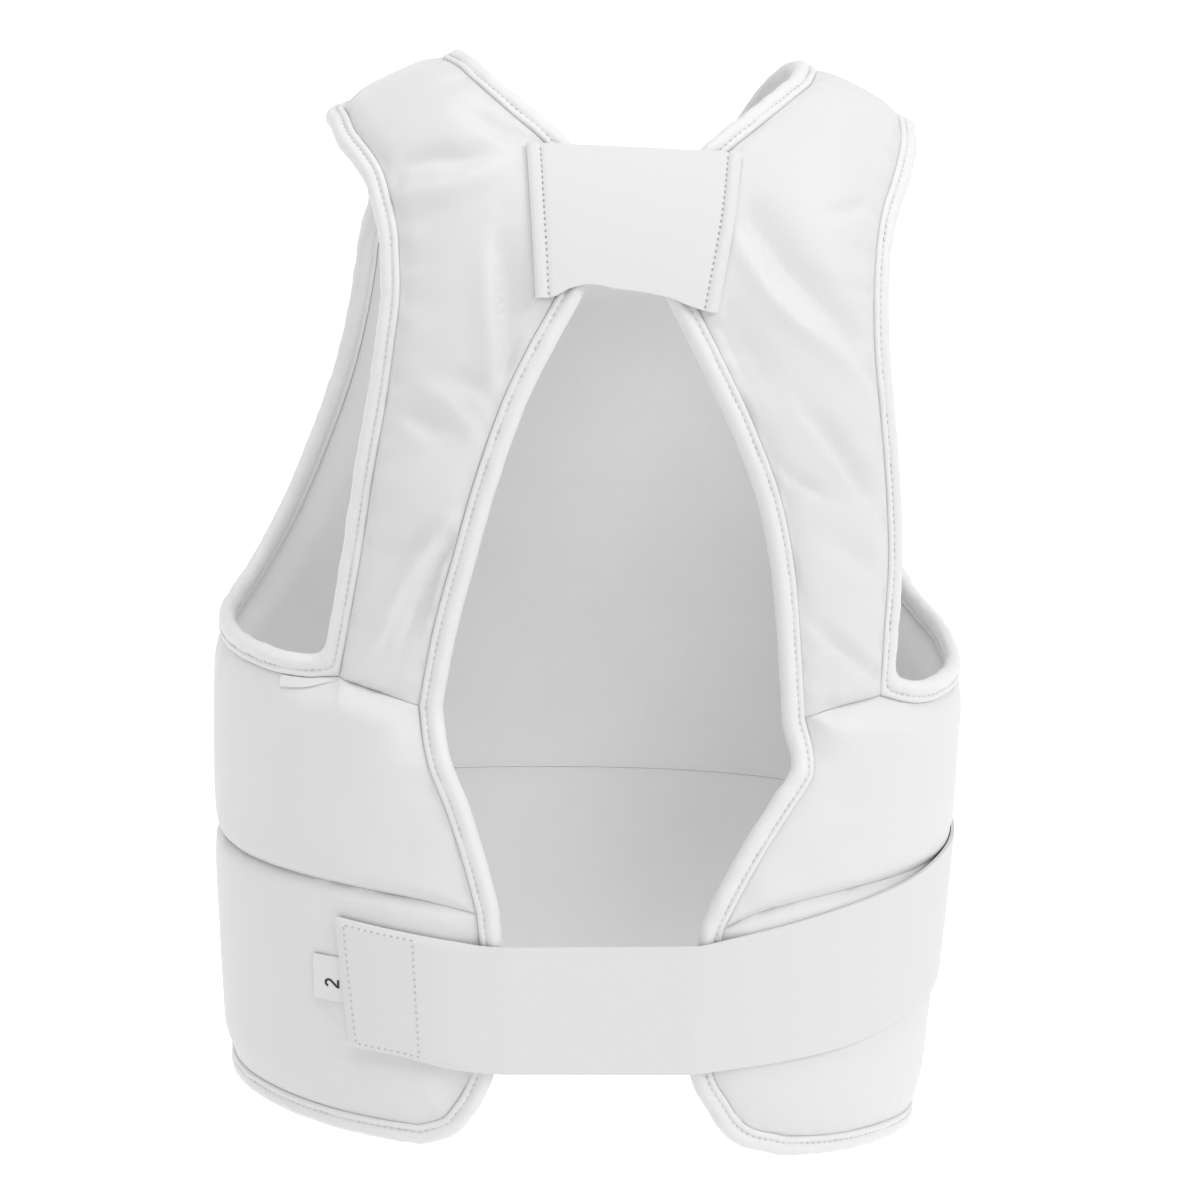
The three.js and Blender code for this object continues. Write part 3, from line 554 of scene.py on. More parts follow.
def cloth(name, colour, rough, sheen, pattern, depth, grain=0.012):
    """Woven white cloth: pattern(tree, u, v) gives its relief, and depth is in millimetres."""
    material = bpy.data.materials.new(name)
    material.use_nodes = True
    tree = material.node_tree
    tree.nodes.clear()
    chart = node(tree, "UVMap", uv_map="UVMap").outputs[0]
    parted = node(tree, "SeparateXYZ", {"Vector": chart})
    relief = pattern(tree, parted.outputs[0], parted.outputs[1])
    place = node(tree, "TexCoord").outputs["Object"]
    fibre = node(tree, "TexNoise", {"Vector": place, "Scale": 900.0, "Detail": 3.0, "Roughness": 0.6})
    cloud = node(tree, "TexNoise", {"Vector": place, "Scale": 14.0, "Detail": 4.0, "Roughness": 0.55})
    # The attribute read here holds painted shade: the cloth is painted darker near seams and bound edges, and in the
    # binding's stitched groove.
    painted_darkening = node(tree, "Attribute", attribute_name="painted_shade").outputs["Fac"]
    height = maths(tree, "MULTIPLY_ADD", fibre.outputs[0], 0.5, relief)
    lightness = scaled(tree, 1 - 2.6 * grain, 1 + 2.6 * grain, cloud.outputs[0])
    # Painted shade of the weave: the hollows between threads are painted a little darker than the raised threads.
    lightness = maths(tree, "MULTIPLY", lightness, scaled(tree, 1 - grain, 1 + grain, relief))
    lightness = maths(tree, "SUBTRACT", lightness, maths(tree, "MULTIPLY", painted_darkening, 0.045))
    tint = node(tree, "VectorMath", {0: colour}, operation="SCALE")
    tree.links.new(lightness, tint.inputs["Scale"])
    bump = node(tree, "Bump", {"Height": height, "Strength": 0.55, "Distance": depth * MM})
    gloss = scaled(tree, rough - 0.05, rough + 0.05, cloud.outputs[0])
    shader = node(tree, "BsdfPrincipled", {
        "Base Color": tint.outputs[0], "Roughness": gloss, "Normal": bump.outputs[0],
        "Sheen Weight": sheen, "Sheen Roughness": 0.45, "Specular IOR Level": 0.35,
    })
    output = node(tree, "OutputMaterial")
    tree.links.new(shader.outputs[0], output.inputs[0])
    return material


def plain_weave(pitch):
    def pattern(tree, u, v):
        warp, weft = thread_lines(tree, u, pitch), thread_lines(tree, v, pitch)
        return maths(tree, "MULTIPLY", maths(tree, "ADD", warp, weft), 0.5)
    return pattern


def twill(pitch):
    def pattern(tree, u, v):
        slant = thread_lines(tree, maths(tree, "ADD", u, v), pitch)
        return maths(tree, "MULTIPLY_ADD", thread_lines(tree, v, pitch * 0.6), 0.35, maths(tree, "MULTIPLY", slant, 0.65))
    return pattern


def ribs(pitch):
    def pattern(tree, u, v):
        long = thread_lines(tree, v, pitch)
        cross = thread_lines(tree, u, pitch * 0.55)
        return maths(tree, "MULTIPLY_ADD", cross, 0.3, maths(tree, "MULTIPLY", long, 0.7))
    return pattern


def hooks(pitch):
    def pattern(tree, u, v):
        return maths(tree, "MULTIPLY", thread_lines(tree, u, pitch), thread_lines(tree, v, pitch))
    return pattern


WHITES = {
    "cover": (0.557, 0.559, 0.562),
    "strap": (0.537, 0.539, 0.543),
    "lining": (0.6, 0.602, 0.606),
    "tape": (0.588, 0.589, 0.592),
    "elastic": (0.54, 0.541, 0.543),
    # The three thread colours are darker than the white cloth they sew: painted shade of the needle holes and stitch
    # dips.
    "thread": (0.5, 0.5, 0.505),
    "shaded_upper_thread": (0.31, 0.31, 0.32),
    "shaded_waist_thread": (0.38, 0.38, 0.385),
    "hook": (0.55, 0.55, 0.55),
    "label": (0.575, 0.575, 0.578),
    "ink": (0.03, 0.03, 0.032),
}
COVER = cloth("cover_cloth", WHITES["cover"], 0.6, 0.15, plain_weave(0.55), 0.05)
STRAP = cloth("strap_cloth", WHITES["strap"], 0.46, 0.3, twill(0.6), 0.05)
LINING = cloth("lining_cloth", WHITES["lining"], 0.75, 0.1, plain_weave(0.8), 0.08)
TAPE = cloth("binding_tape", WHITES["tape"], 0.5, 0.25, twill(0.75), 0.08)
ELASTIC = cloth("ribbed_elastic", WHITES["elastic"], 0.7, 0.2, ribs(1.3), 0.05, grain=0.004)
# Painted shade: the thread materials are dark to stand in for the shadows at the needle holes.
THREAD = cloth("shaded_sewing_thread", WHITES["thread"], 0.5, 0.2, twill(0.3), 0.04)
SHADED_UPPER_THREAD = cloth("shaded_upper_thread", WHITES["shaded_upper_thread"], 0.6, 0.1, twill(0.3), 0.04)
SHADED_WAIST_THREAD = cloth("shaded_waist_thread", WHITES["shaded_waist_thread"], 0.6, 0.1, twill(0.3), 0.04)
HOOK = cloth("hook_tape", WHITES["hook"], 0.85, 0.1, hooks(1.1), 0.5)
LABEL = cloth("label_cloth", WHITES["label"], 0.6, 0.1, plain_weave(0.4), 0.04)
INK = cloth("woven_numeral", WHITES["ink"], 0.7, 0.0, plain_weave(0.35), 0.04)


# Meshes

def turned_out(points, faces):
    corners = points[faces]
    volume = np.einsum("ij,ij->", corners[:, 0], np.cross(corners[:, 1], corners[:, 2]))
    volume += np.einsum("ij,ij->", corners[:, 0], np.cross(corners[:, 2], corners[:, 3]))
    return faces if volume > 0 else faces[:, ::-1]


def piece(name, points, faces, chart, materials, kinds=None, painted_shade=None, sharp=55):
    """Mesh of four-sided faces with its cloth chart, in millimetres, and its painted shade."""
    mesh = bpy.data.meshes.new(name)
    mesh.vertices.add(len(points))
    mesh.vertices.foreach_set("co", (points * MM).astype(np.float32).ravel())
    mesh.loops.add(faces.size)
    mesh.loops.foreach_set("vertex_index", faces.astype(np.int32).ravel())
    mesh.polygons.add(len(faces))
    mesh.polygons.foreach_set("loop_start", np.arange(0, faces.size, 4, dtype=np.int32))
    mesh.polygons.foreach_set("loop_total", np.full(len(faces), 4, dtype=np.int32))
    for material in materials:
        mesh.materials.append(material)
    if kinds is not None:
        mesh.polygons.foreach_set("material_index", kinds.astype(np.int32))
    layer = mesh.uv_layers.new(name="UVMap")
    layer.data.foreach_set("uv", (chart[faces.ravel()] * MM).astype(np.float32).ravel())
    # Painted shade at each point, by which the cloth materials darken their colour.
    shade_layer = mesh.attributes.new("painted_shade", "FLOAT", "POINT")
    shade_layer.data.foreach_set("value", (np.zeros(len(points)) if painted_shade is None else painted_shade).astype(np.float32))
    mesh.update(calc_edges=True)
    mesh.validate()
    mesh.polygons.foreach_set("use_smooth", np.ones(len(mesh.polygons), bool))
    mesh.set_sharp_from_angle(angle=math.radians(sharp))
    made = bpy.data.objects.new(name, mesh)
    bpy.context.scene.collection.objects.link(made)
    return made


def grid_faces(numbers):
    return np.stack([numbers[:-1, :-1], numbers[:-1, 1:], numbers[1:, 1:], numbers[1:, :-1]], -1).reshape(-1, 4)


def border_of(faces):
    edges = np.concatenate([faces[:, [k, (k + 1) % 4]] for k in range(4)])
    _, first, counts = np.unique(np.sort(edges, 1), axis=0, return_index=True, return_counts=True)
    return edges[first[counts == 1]]


def nearest_on(edges, points, samples=3):
    """Distance of each point to a set of edges, and where on them it is nearest."""
    shares = np.arange(samples) / samples
    spots = (points[edges[:, 0]][:, None] * (1 - shares)[:, None] + points[edges[:, 1]][:, None] * shares[:, None])
    spots = spots.reshape(-1, 3)
    distance, number = nearest_of(spots, points)
    return distance, spots[number]


class Wall:
    """Several patches welded into one lining sheet."""

    def __init__(self, patches, numbers):
        count = max(rows.max() for rows in numbers) + 1
        self.at, self.out = np.zeros((count, 3)), np.zeros((count, 3))
        self.chart, self.meets, self.lift = np.zeros((count, 2)), np.zeros(count, int), np.zeros(count)
        for patch, rows in zip(reversed(patches), reversed(numbers)):
            self.at[rows], self.out[rows], self.lift[rows] = patch.at, patch.out, patch.lift
            self.chart[rows, 0], self.chart[rows, 1] = patch.u, patch.v
            self.meets[rows] = np.where(patch.meets > 0, patch.meets, self.meets[rows])
        self.numbers = numbers
        self.faces = np.concatenate([grid_faces(rows) for rows in numbers])
        self.border = border_of(self.faces)
        kinds = self.meets[self.border]
        self.kinds = np.where(kinds[:, 0] == kinds[:, 1], kinds[:, 0], BOUND)

    def heights(self, full, borders):
        """Lining and cover heights, the distance to the nearest border, and the puckers there."""
        lining, cover = np.zeros(len(self.at)), np.full(len(self.at), full)
        edge, pucker = np.full(len(self.at), np.inf), np.zeros(len(self.at))
        for kind, (least, roll) in borders.items():
            if not np.any(self.kinds == kind):
                continue
            distance, spot = nearest_on(self.border[self.kinds == kind], self.at)
            share = np.sin(math.pi / 2 * np.minimum(distance / roll, 1))
            lift = self.lift if kind == BOUND else 0
            lining = np.maximum(lining, lift * (1 - share))
            cover = np.minimum(cover, mix(lift + least, full, share))
            edge = np.minimum(edge, distance)
            fade = np.exp(-distance / 7) * smooth(0, 2.5, distance)
            pucker += fade * (waves(spot, 9, 11 + kind) + 0.7 * waves(spot, 21, 21 + kind))
        return lining, cover, edge, pucker


def padded_piece(name, wall, lining, cover, painted_shade, materials):
    count = len(wall.at)
    points = np.concatenate([wall.at + wall.out * lining[:, None], wall.at + wall.out * cover[:, None]])
    a, b = wall.border[:, 0], wall.border[:, 1]
    faces = np.concatenate([
        wall.faces, wall.faces[:, ::-1] + count, np.stack([b, a, a + count, b + count], 1),
    ])
    kinds = np.zeros(len(faces), int)
    kinds[: len(wall.faces)] = 1
    chart = np.concatenate([wall.chart, wall.chart])
    return piece(name, points, turned_out(points, faces), chart, materials, kinds, np.concatenate([painted_shade, painted_shade]))


# Folds of the straps: line of (place across, run), its two half widths and its height, in mm.
# The first half width is on the right-hand side of someone who walks along the line, seen from behind.
FOLDS = {
    "left": (
        (((-92, 80), (-85, 73), (-76, 75), (-65, 80), (-53, 79)), (3.0, 5.5), -2.0),
        (((-90, 86), (-78, 89), (-67, 92), (-56, 88), (-44, 81)), (6.0, 4.0), 1.6),
        (((-40, 75), (-50, 69), (-57, 63), (-63, 58)), (5.5, 3.0), -1.8),
        (((-88, 104), (-78, 108)), (3.5, 3.5), 0.5),
        (((-86, 142), (-74, 147)), (3.5, 3.5), 0.5),
        (((-57, 116), (-56, 125), (-55, 140), (-54, 156), (-53, 173)), (5.0, 3.0), 1.3),
        (((-52, 108), (-51, 123), (-50, 139), (-49, 155), (-49, 174)), (1.9, 9.0), -2.9),
        (((-83, 160), (-71, 173), (-62, 185), (-55, 196)), (3.0, 3.5), 1.2),
        (((-90, 166), (-80, 176), (-71, 187)), (4.5, 4.0), -1.5),
        (((-69, 164), (-57, 171)), (3.0, 3.5), -0.8),
        (((-65, 172), (-53, 182)), (2.5, 2.5), 0.8),
        (((-89, 175), (-74, 191)), (3.0, 3.0), 0.7),
        (((-98, 196), (-80, 203), (-62, 208)), (9.0, 13.0), 1.5),
        (((-98, 222), (-82, 226), (-70, 230)), (8.0, 9.0), -1.6),
        (((-67, 219), (-79, 234), (-85, 243), (-91, 257), (-99, 269)), (5.0, 2.6), 2.0),
        (((-64, 230), (-73, 238), (-79, 251), (-85, 268)), (2.2, 6.5), -2.4),
    ),
    "right": (
        (((40, 99), (51, 112), (59, 124), (69, 134), (80, 142), (87, 149), (94, 156)), (2.4, 10.0), -2.6),
        (((37, 106), (46, 121), (54, 134), (65, 145), (79, 153), (93, 161)), (4.5, 2.6), 1.7),
        (((33, 138), (45, 157), (57, 174)), (9.0, 9.0), -2.2),
        (((78, 101), (87, 95), (96, 87)), (2.6, 2.6), -0.8),
        (((68, 178), (80, 189), (89, 197), (99, 209)), (2.2, 7.0), -2.4),
        (((58, 202), (69, 207), (80, 212)), (2.4, 3.5), -1.6),
        (((78, 228), (94, 232), (109, 235)), (6.0, 7.0), -1.3),
        (((75, 264), (87, 270), (98, 274), (111, 278)), (2.6, 4.5), -2.0),
    ),
}
FOLD_STRENGTH = 1.45


def fold_relief(side, x, run):
    place = np.stack([x, run], -1)
    total = np.zeros(len(place))
    for line, widths, height in FOLDS[side]:
        line = np.array(line, float)
        nearest, along, right = np.full(len(place), 1e9), np.zeros(len(place)), np.zeros(len(place))
        length = running_length(line[:, 0], line[:, 1])
        for k in range(len(line) - 1):
            span, off = line[k + 1] - line[k], place - line[k]
            share = np.clip(off @ span / (span @ span), 0, 1)
            gap = np.linalg.norm(off - share[:, None] * span, axis=1)
            closer = gap < nearest
            nearest = np.where(closer, gap, nearest)
            along = np.where(closer, length[k] + share * (length[k + 1] - length[k]), along)
            turned_by = (span[0] * off[:, 1] - span[1] * off[:, 0]) / np.linalg.norm(span)
            right = np.where(closer, turned_by, right)
        width = mix(widths[1], widths[0], smooth(-1, 1, right))
        taper = np.sin(math.pi * np.clip(along / length[-1], 0.03, 0.97)) ** 0.6
        total += FOLD_STRENGTH * height * taper * np.exp(-((nearest / width) ** 2))
    return total


def under_waist(chart):
    """Share by which the waist elastic presses on each place of a panel."""
    turn = chart[:, 0] / HALF_GIRTH
    from_back = np.where(turn < 0, -1 - turn, 1 - turn)
    drop = -chart[:, 1] / GARMENT_LENGTH
    top, bottom = WAIST_TOP(from_back), WAIST_BOTTOM(from_back)
    inside = np.minimum(drop - top, bottom - drop) * GARMENT_LENGTH
    within = np.minimum(from_back - WAIST_BAND["turn"][0], WAIST_BAND["turn"][-1] - from_back) * HALF_GIRTH
    return smooth(-5, 3, np.minimum(inside, within))


WAIST_TOP = through(WAIST_BAND, "turn", "top")
WAIST_BOTTOM = through(WAIST_BAND, "turn", "bottom")


CLOTH_FRAMES = 16
CLOTH_PRESSURE = 4.0
CLOTH_GROWTH = 0.012
CLOTH_RISE, CLOTH_SINK = 1.0, 0.5
CLOTH_EVENNESS = 4.0
CLOTH_THIN = 2


def cloth_sheet(wall, heights, held):
    """Coarse copy of a cover that Blender's cloth can move, pinned where it is held."""
    grids = [rows[::CLOTH_THIN, ::CLOTH_THIN] for rows in wall.numbers]
    kept, faces = np.unique(np.concatenate([grid_faces(rows) for rows in grids]), return_inverse=True)
    faces = faces.reshape(-1, 4)
    points = (wall.at + wall.out * heights[:, None])[kept]
    corners = points[faces]
    normals = np.cross(corners[:, 2] - corners[:, 0], corners[:, 3] - corners[:, 1])
    if np.sum(normals * wall.out[kept][faces[:, 0]]) < 0:
        faces = faces[:, ::-1]
    mesh = bpy.data.meshes.new("cloth_sheet")
    mesh.from_pydata((points * MM).tolist(), [], faces.tolist())
    sheet = bpy.data.objects.new("cloth_sheet", mesh)
    bpy.context.scene.collection.objects.link(sheet)
    pins = sheet.vertex_groups.new(name="pin")
    pins.add(np.flatnonzero(held[kept]).tolist(), 1.0, "REPLACE")
    settings = sheet.modifiers.new("Cloth", "CLOTH").settings
    settings.quality = 5
    settings.use_pressure = True
    settings.uniform_pressure_force = CLOTH_PRESSURE
    settings.shrink_min = -CLOTH_GROWTH
    settings.vertex_group_mass = "pin"
    settings.effector_weights.gravity = 0.0
    return sheet, kept, points


def carried_over(wall, kept, moved):
    """Moves of the coarse sheet brought to every place of the fine one."""
    fine = np.zeros(len(wall.at))
    fine[kept] = moved
    for rows in wall.numbers:
        level = fine[rows]
        level[1::2] = (level[:-1:2] + level[2::2]) / 2
        level[:, 1::2] = (level[:, :-1:2] + level[:, 2::2]) / 2
        fine[rows] = level
    edges = np.unique(np.sort(np.concatenate([wall.faces[:, [k, (k + 1) % 4]] for k in range(4)]), 1), axis=0)
    ends = np.concatenate([edges, edges[:, ::-1]])
    links = np.bincount(ends[:, 0], minlength=len(fine))
    for _ in range(3):
        around_it = np.bincount(ends[:, 0], weights=fine[ends[:, 1]], minlength=len(fine)) / links
        fine = (fine + around_it) / 2
    return fine


def evened(points, values):
    """Values averaged over the places near each point, which takes out small buckles."""
    tree = kdtree.KDTree(len(points))
    for k, point in enumerate(points):
        tree.insert(point, k)
    tree.balance()
    even = np.empty(len(points))
    for k, point in enumerate(points):
        near = tree.find_range(point, 2 * CLOTH_EVENNESS)
        weights = np.exp(-((np.array([item[2] for item in near]) / CLOTH_EVENNESS) ** 2))
        even[k] = weights @ values[[item[1] for item in near]] / weights.sum()
    return even


def simulated(covers):
    """Moves of each cover under its filling's pressure, in mm along its normals."""
    sheets = [cloth_sheet(*cover) for cover in covers]
    scene = bpy.context.scene
    for number in range(1, CLOTH_FRAMES + 1):
        scene.frame_set(number)
    graph = bpy.context.evaluated_depsgraph_get()
    moves = []
    for (wall, heights, held), (sheet, kept, points) in zip(covers, sheets):
        made = sheet.evaluated_get(graph).to_mesh()
        spots = np.empty(len(made.vertices) * 3)
        made.vertices.foreach_get("co", spots)
        away = np.sum((spots.reshape(-1, 3) / MM - points) * wall.out[kept], -1)
        most = np.where(away > 0, CLOTH_RISE, CLOTH_SINK)
        away = most * np.tanh(away / most)
        moves.append(carried_over(wall, kept, evened(points, away)))
    for sheet, kept, points in sheets:
        bpy.data.objects.remove(sheet)
    scene.frame_set(1)
    return moves


def panel_cover(wall, seed):
    """Heights of a panel's lining and cover, its painted shade near the borders, and where its cover is held down."""
    lining, cover, edge, pucker = wall.heights(PANEL_THICKNESS, PANEL_BORDERS)
    inside = smooth(0, 18, edge)
    pressed = under_waist(wall.chart)
    relief = inside * (0.45 * waves(wall.at, 70, seed) + 0.12 * waves(wall.at, 26, seed + 1))
    relief = relief * (1 - pressed) + 0.3 * pucker * (1 - 0.6 * pressed) + 0.25 * pressed * inside
    inner = smooth(0, 10, edge) * np.maximum(0.15 + 0.1 * waves(wall.at, 34, seed + 2), 0)
    # Painted shade: the cover is painted darker within a few mm of its borders and seams.
    painted_shade = np.exp(-edge / 3) * 0.8
    return lining + inner, cover + relief, painted_shade, (edge < 1) | (pressed > 0.02)


def strap_cover(side, wall, seed):
    """Heights of a strap's lining and cover, its painted shade near the borders, and where its cover is held down."""
    lining, cover, edge, pucker = wall.heights(STRAP_THICKNESS, STRAP_BORDERS)
    x, run = wall.chart[:, 0], wall.chart[:, 1]
    neck_run = BACK_RUN[side + "_neck"]
    flap = through(UPPER_BAND, "run", side)(run / neck_run) * TRUNK_HALF_WIDTH
    inward = (x - flap) * -SIGN[side]
    in_run = np.minimum(run - UPPER_BAND["run"][0] * neck_run, UPPER_BAND["run"][-1] * neck_run - run)
    covered = smooth(-4, 0, np.minimum(inward, in_run))
    inside = smooth(0, 5, edge)
    relief = inside * (fold_relief(side, x, run) + 0.25 * waves(wall.at, 38, seed))
    relief = (relief + 0.7 * pucker) * (1 - covered) + 0.25 * covered * inside
    inner = inside * np.maximum(0.1 + 0.1 * waves(wall.at, 30, seed + 1), 0)
    # Painted shade: the strap is painted darker within a few mm of its edges and seams.
    painted_shade = np.exp(-edge / 2.5) * 0.7
    return lining + inner, cover + relief, painted_shade, (edge < 1) | (covered > 0.02)


# Panels: the bib's foot is the middle of the chest band's top row
band_numbers = np.arange(CHEST.u.size).reshape(CHEST.u.shape)
front_start = WING_CELLS + SIDE_CELLS
bib_numbers = band_numbers.size + np.arange((BIB_CELLS + 1) * (FRONT_CELLS + 1)).reshape(BIB_CELLS + 1, -1) - FRONT_CELLS - 1
bib_numbers[0] = band_numbers[-1, front_start : front_start + FRONT_CELLS + 1]
chest_wall = Wall([CHEST, BIB], [band_numbers, bib_numbers])
abdomen_wall = Wall([ABDOMEN], [np.arange(ABDOMEN.u.size).reshape(ABDOMEN.u.shape)])
strap_walls = [Wall([STRAPS[side]], [np.arange(STRAPS[side].u.size).reshape(STRAPS[side].u.shape)]) for side in SIGN]
walls = [chest_wall, abdomen_wall, *strap_walls]
names = ("chest_panel", "abdomen_panel", "shoulder_strap_left", "shoulder_strap_right")
looks = [(COVER, LINING), (COVER, LINING), (STRAP, LINING), (STRAP, LINING)]
slots = ("cover_cloth", "cover_cloth", "strap_cloth", "strap_cloth")
fills = (0.7, 0.7, 0.45, 0.45)
covers = [
    panel_cover(chest_wall, 31), panel_cover(abdomen_wall, 41),
    strap_cover("left", strap_walls[0], 51), strap_cover("right", strap_walls[1], 61),
]
moves = simulated([(wall, cover[1], cover[3]) for wall, cover in zip(walls, covers)])
for wall, name, look, slot, fill, cover, move in zip(walls, names, looks, slots, fills, covers, moves):
    lining, height, painted_shade, held = cover
    height = height + move * ~held
    made = padded_piece(name + "_cloth", wall, lining, height, painted_shade, look)
    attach(made, "root")
    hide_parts(name)
    if wall is chest_wall:
        chest_top = wall.at + wall.out * height[:, None]


def stitched_line(surface, out, rows, columns):
    """Line over a surface through fractional rows and columns of its grid."""
    rows, columns = np.asarray(rows, float), np.asarray(columns, float)
    i, j = np.clip(rows.astype(int), 0, surface.shape[0] - 2), np.clip(columns.astype(int), 0, surface.shape[1] - 2)
    s, t = (rows - i)[:, None], (columns - j)[:, None]
    def read(values):
        return mix(mix(values[i, j], values[i, j + 1], t), mix(values[i + 1, j], values[i + 1, j + 1], t), s)
    return read(surface), unit(read(out))


# Bindings: profile of (out from the border, up from the lining), flange first
TAPE_PROFILE = (
    (-0.28, 2.0), (-0.25, 4.1), (0.1, 4.75), (0.9, 5.1), (1.7, 5.1), (2.25, 4.85), (2.6, 4.7), (2.95, 4.85), (3.7, 5.25),
    (5.2, 5.6), (6.4, 5.4), (7.5, 4.7), (8.4, 3.6), (8.9, 2.2), (8.7, 0.8), (7.9, -0.4), (6.6, -1.2),
    (5.0, -1.5), (3.4, -1.1), (3.0, -0.7), (2.5, -1.0), (1.2, -1.1), (0.3, -0.6), (-0.2, 0.4),
)
GROOVE_OUT, GROOVE_UP = 2.6, 4.7
TAPE_STEP = 1.5
CORNER_COSINE, CORNER_REACH, CORNER_TURNS = 0.93, 9.0, 4
OVERLAP_TURNS, OVERLAP_ROWS, OVERLAP_THICKNESS = (-0.661, -0.716), (3.6, 1.2), 1.0


def resampled(stretch, step=TAPE_STEP):
    at, out = stretch
    length = running_length(*at.T)
    count = max(int(round(length[-1] / step)), 2)
    spots = np.linspace(0, length[-1], count + 1)
    read = lambda values: np.stack([np.interp(spots, length, column) for column in values.T], -1)
    return read(at), unit(read(out))


def closed_outline(stretches):
    """One closed list of places, with the two ends at each seam gap joined in one."""
    ats, outs = [], []
    parts = [resampled(stretch) for stretch in stretches]
    for k, (at, out) in enumerate(parts):
        next_at, next_out = parts[(k + 1) % len(parts)]
        at, out = at[1:].copy(), out[1:].copy()
        at[-1] = (at[-1] + next_at[0]) / 2
        out[-1] = unit(out[-1] + next_out[0])
        ats.append(at)
        outs.append(out)
    return np.concatenate(ats), np.concatenate(outs)


def stretch_of(patch, rows, columns):
    at, out, lift = patch.at[rows, columns], patch.out[rows, columns], patch.lift[rows, columns]
    return at + out * lift[:, None], out


def row_of(patch, index, columns=slice(None)):
    return stretch_of(patch, index, columns)


def column_of(patch, index, rows=slice(None)):
    return stretch_of(patch, rows, index)


def turned(stretch):
    return stretch[0][::-1], stretch[1][::-1]


def armhole_outline(side):
    if side == "left":
        floor = row_of(CHEST, -1, slice(WING_CELLS, front_start + 1))
        bib_edge = column_of(BIB, 0)
    else:
        floor = turned(row_of(CHEST, -1, slice(front_start + FRONT_CELLS, CHEST.u.shape[1] - WING_CELLS)))
        bib_edge = column_of(BIB, -1)
    return closed_outline([floor, bib_edge, column_of(STRAPS[side], -1)])


def outer_outline():
    seam = round(SEAM_SHARE * FRONT_CELLS)
    return closed_outline([
        row_of(BIB, -1, slice(seam, FRONT_CELLS - seam + 1)),
        column_of(STRAPS["right"], 0),
        turned(column_of(CHEST, -1)),
        column_of(ABDOMEN, -1),
        turned(row_of(ABDOMEN, -1)),
        turned(column_of(ABDOMEN, 0)),
        column_of(CHEST, 0),
        turned(column_of(STRAPS["left"], 0)),
    ])


def tape_rails(outline, sign):
    """Outward mitre at each place of an outline, and the direction along it."""
    at, out = outline
    before = at - np.roll(at, 1, 0)
    after = np.roll(at, -1, 0) - at
    away = unit(np.cross(before, out)) * sign
    following = unit(np.cross(after, out)) * sign
    mitre = (away + following) / (1 + np.sum(away * following, -1, keepdims=True))
    return mitre, unit(before + after)


def relaxed(rail, along):
    """Rail without the loops that an inside corner makes."""
    for _ in range(80):
        step = np.roll(rail, -1, 0) - rail
        bad = np.sum(step * along, -1) < 0.25 * TAPE_STEP
        if not bad.any():
            break
        moved = bad | np.roll(bad, 1) | np.roll(bad, -1) | np.roll(bad, 2)
        middle = (np.roll(rail, 1, 0) + np.roll(rail, -1, 0)) / 2
        rail = np.where(moved[:, None], middle, rail)
    return rail


def rounded(rail, corner, turns):
    """Rail whose corners are softened, more for a rail farther out."""
    for _ in range(turns):
        middle = (np.roll(rail, 1, 0) + np.roll(rail, -1, 0)) / 2
        rail = mix(rail, middle, corner[:, None])
    return rail


def corner_weights(at):
    """Share from 0 to 1 that is greatest at the corners of an outline."""
    step = unit(np.roll(at, -1, 0) - at)
    bend = np.sum(step * np.roll(step, 1, 0), -1)
    length = running_length(*at.T)
    whole = length[-1] + np.linalg.norm(at[0] - at[-1])
    weight = np.zeros(len(at))
    for spot in length[bend < CORNER_COSINE]:
        apart = np.abs(length - spot)
        apart = np.minimum(apart, whole - apart)
        weight = np.maximum(weight, np.exp(-((apart / CORNER_REACH) ** 2)))
    return weight


def tape_piece(name, outline, sign, seed):
    at, out = outline
    mitre, along = tape_rails(outline, sign)
    corner = corner_weights(at)
    count, sides = len(at), len(TAPE_PROFILE)
    swell = 0.16 * waves(at, 11, seed) + 0.12 * waves(at, 5.5, seed + 1)
    flange = 0.14 * waves(at, 9, seed + 2)
    rails = []
    for reach, up in TAPE_PROFILE:
        roll = smooth(GROOVE_OUT, GROOVE_OUT + 2, reach)
        rise = 1 if up > 2 else -1
        lift = up + rise * (swell * roll + flange * (1 - roll) * smooth(0.2, 1, reach))
        rail = at + mitre * (BINDING_GAP + reach + 0.4 * swell * roll)[:, None] + out * lift[:, None]
        rails.append(rounded(relaxed(rail, along), corner, int(round(CORNER_TURNS * max(reach, 0)))))
    points = np.stack(rails, 1).reshape(-1, 3)
    numbers = np.arange(count * sides).reshape(count, sides)
    ahead, beside = np.roll(numbers, -1, 0), np.roll(numbers, -1, 1)
    faces = np.stack([numbers, beside, np.roll(ahead, -1, 1), ahead], -1).reshape(-1, 4)
    length = running_length(*at.T)
    profile = np.array(TAPE_PROFILE)
    chart = np.stack(np.broadcast_arrays(length[:, None], running_length(*profile.T)[None]), -1).reshape(-1, 2)
    # Painted shade: the tape is painted darker along its stitched groove.
    groove = np.exp(-np.abs(profile[:, 0] - GROOVE_OUT) / 0.7)
    painted_shade = np.broadcast_to(groove[None], (count, sides)).ravel()
    made = piece(name + "_tape", points, turned_out(points, faces), chart, (TAPE,), painted_shade=painted_shade)
    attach(made, "root")
    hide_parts(name)
    line = relaxed(at + mitre * (BINDING_GAP + GROOVE_OUT) + out * (GROOVE_UP + 0.12), along)
    line = rounded(line, corner, int(round(CORNER_TURNS * GROOVE_OUT)))
    line, out = np.concatenate([line, line[:1]]), np.concatenate([out, out[:1]])
    stitches = stitch_piece(name + "_stitches", line, out, 3.0, THREAD, thread=0.27, fill=0.6)
    stitches.parent = made
    return made


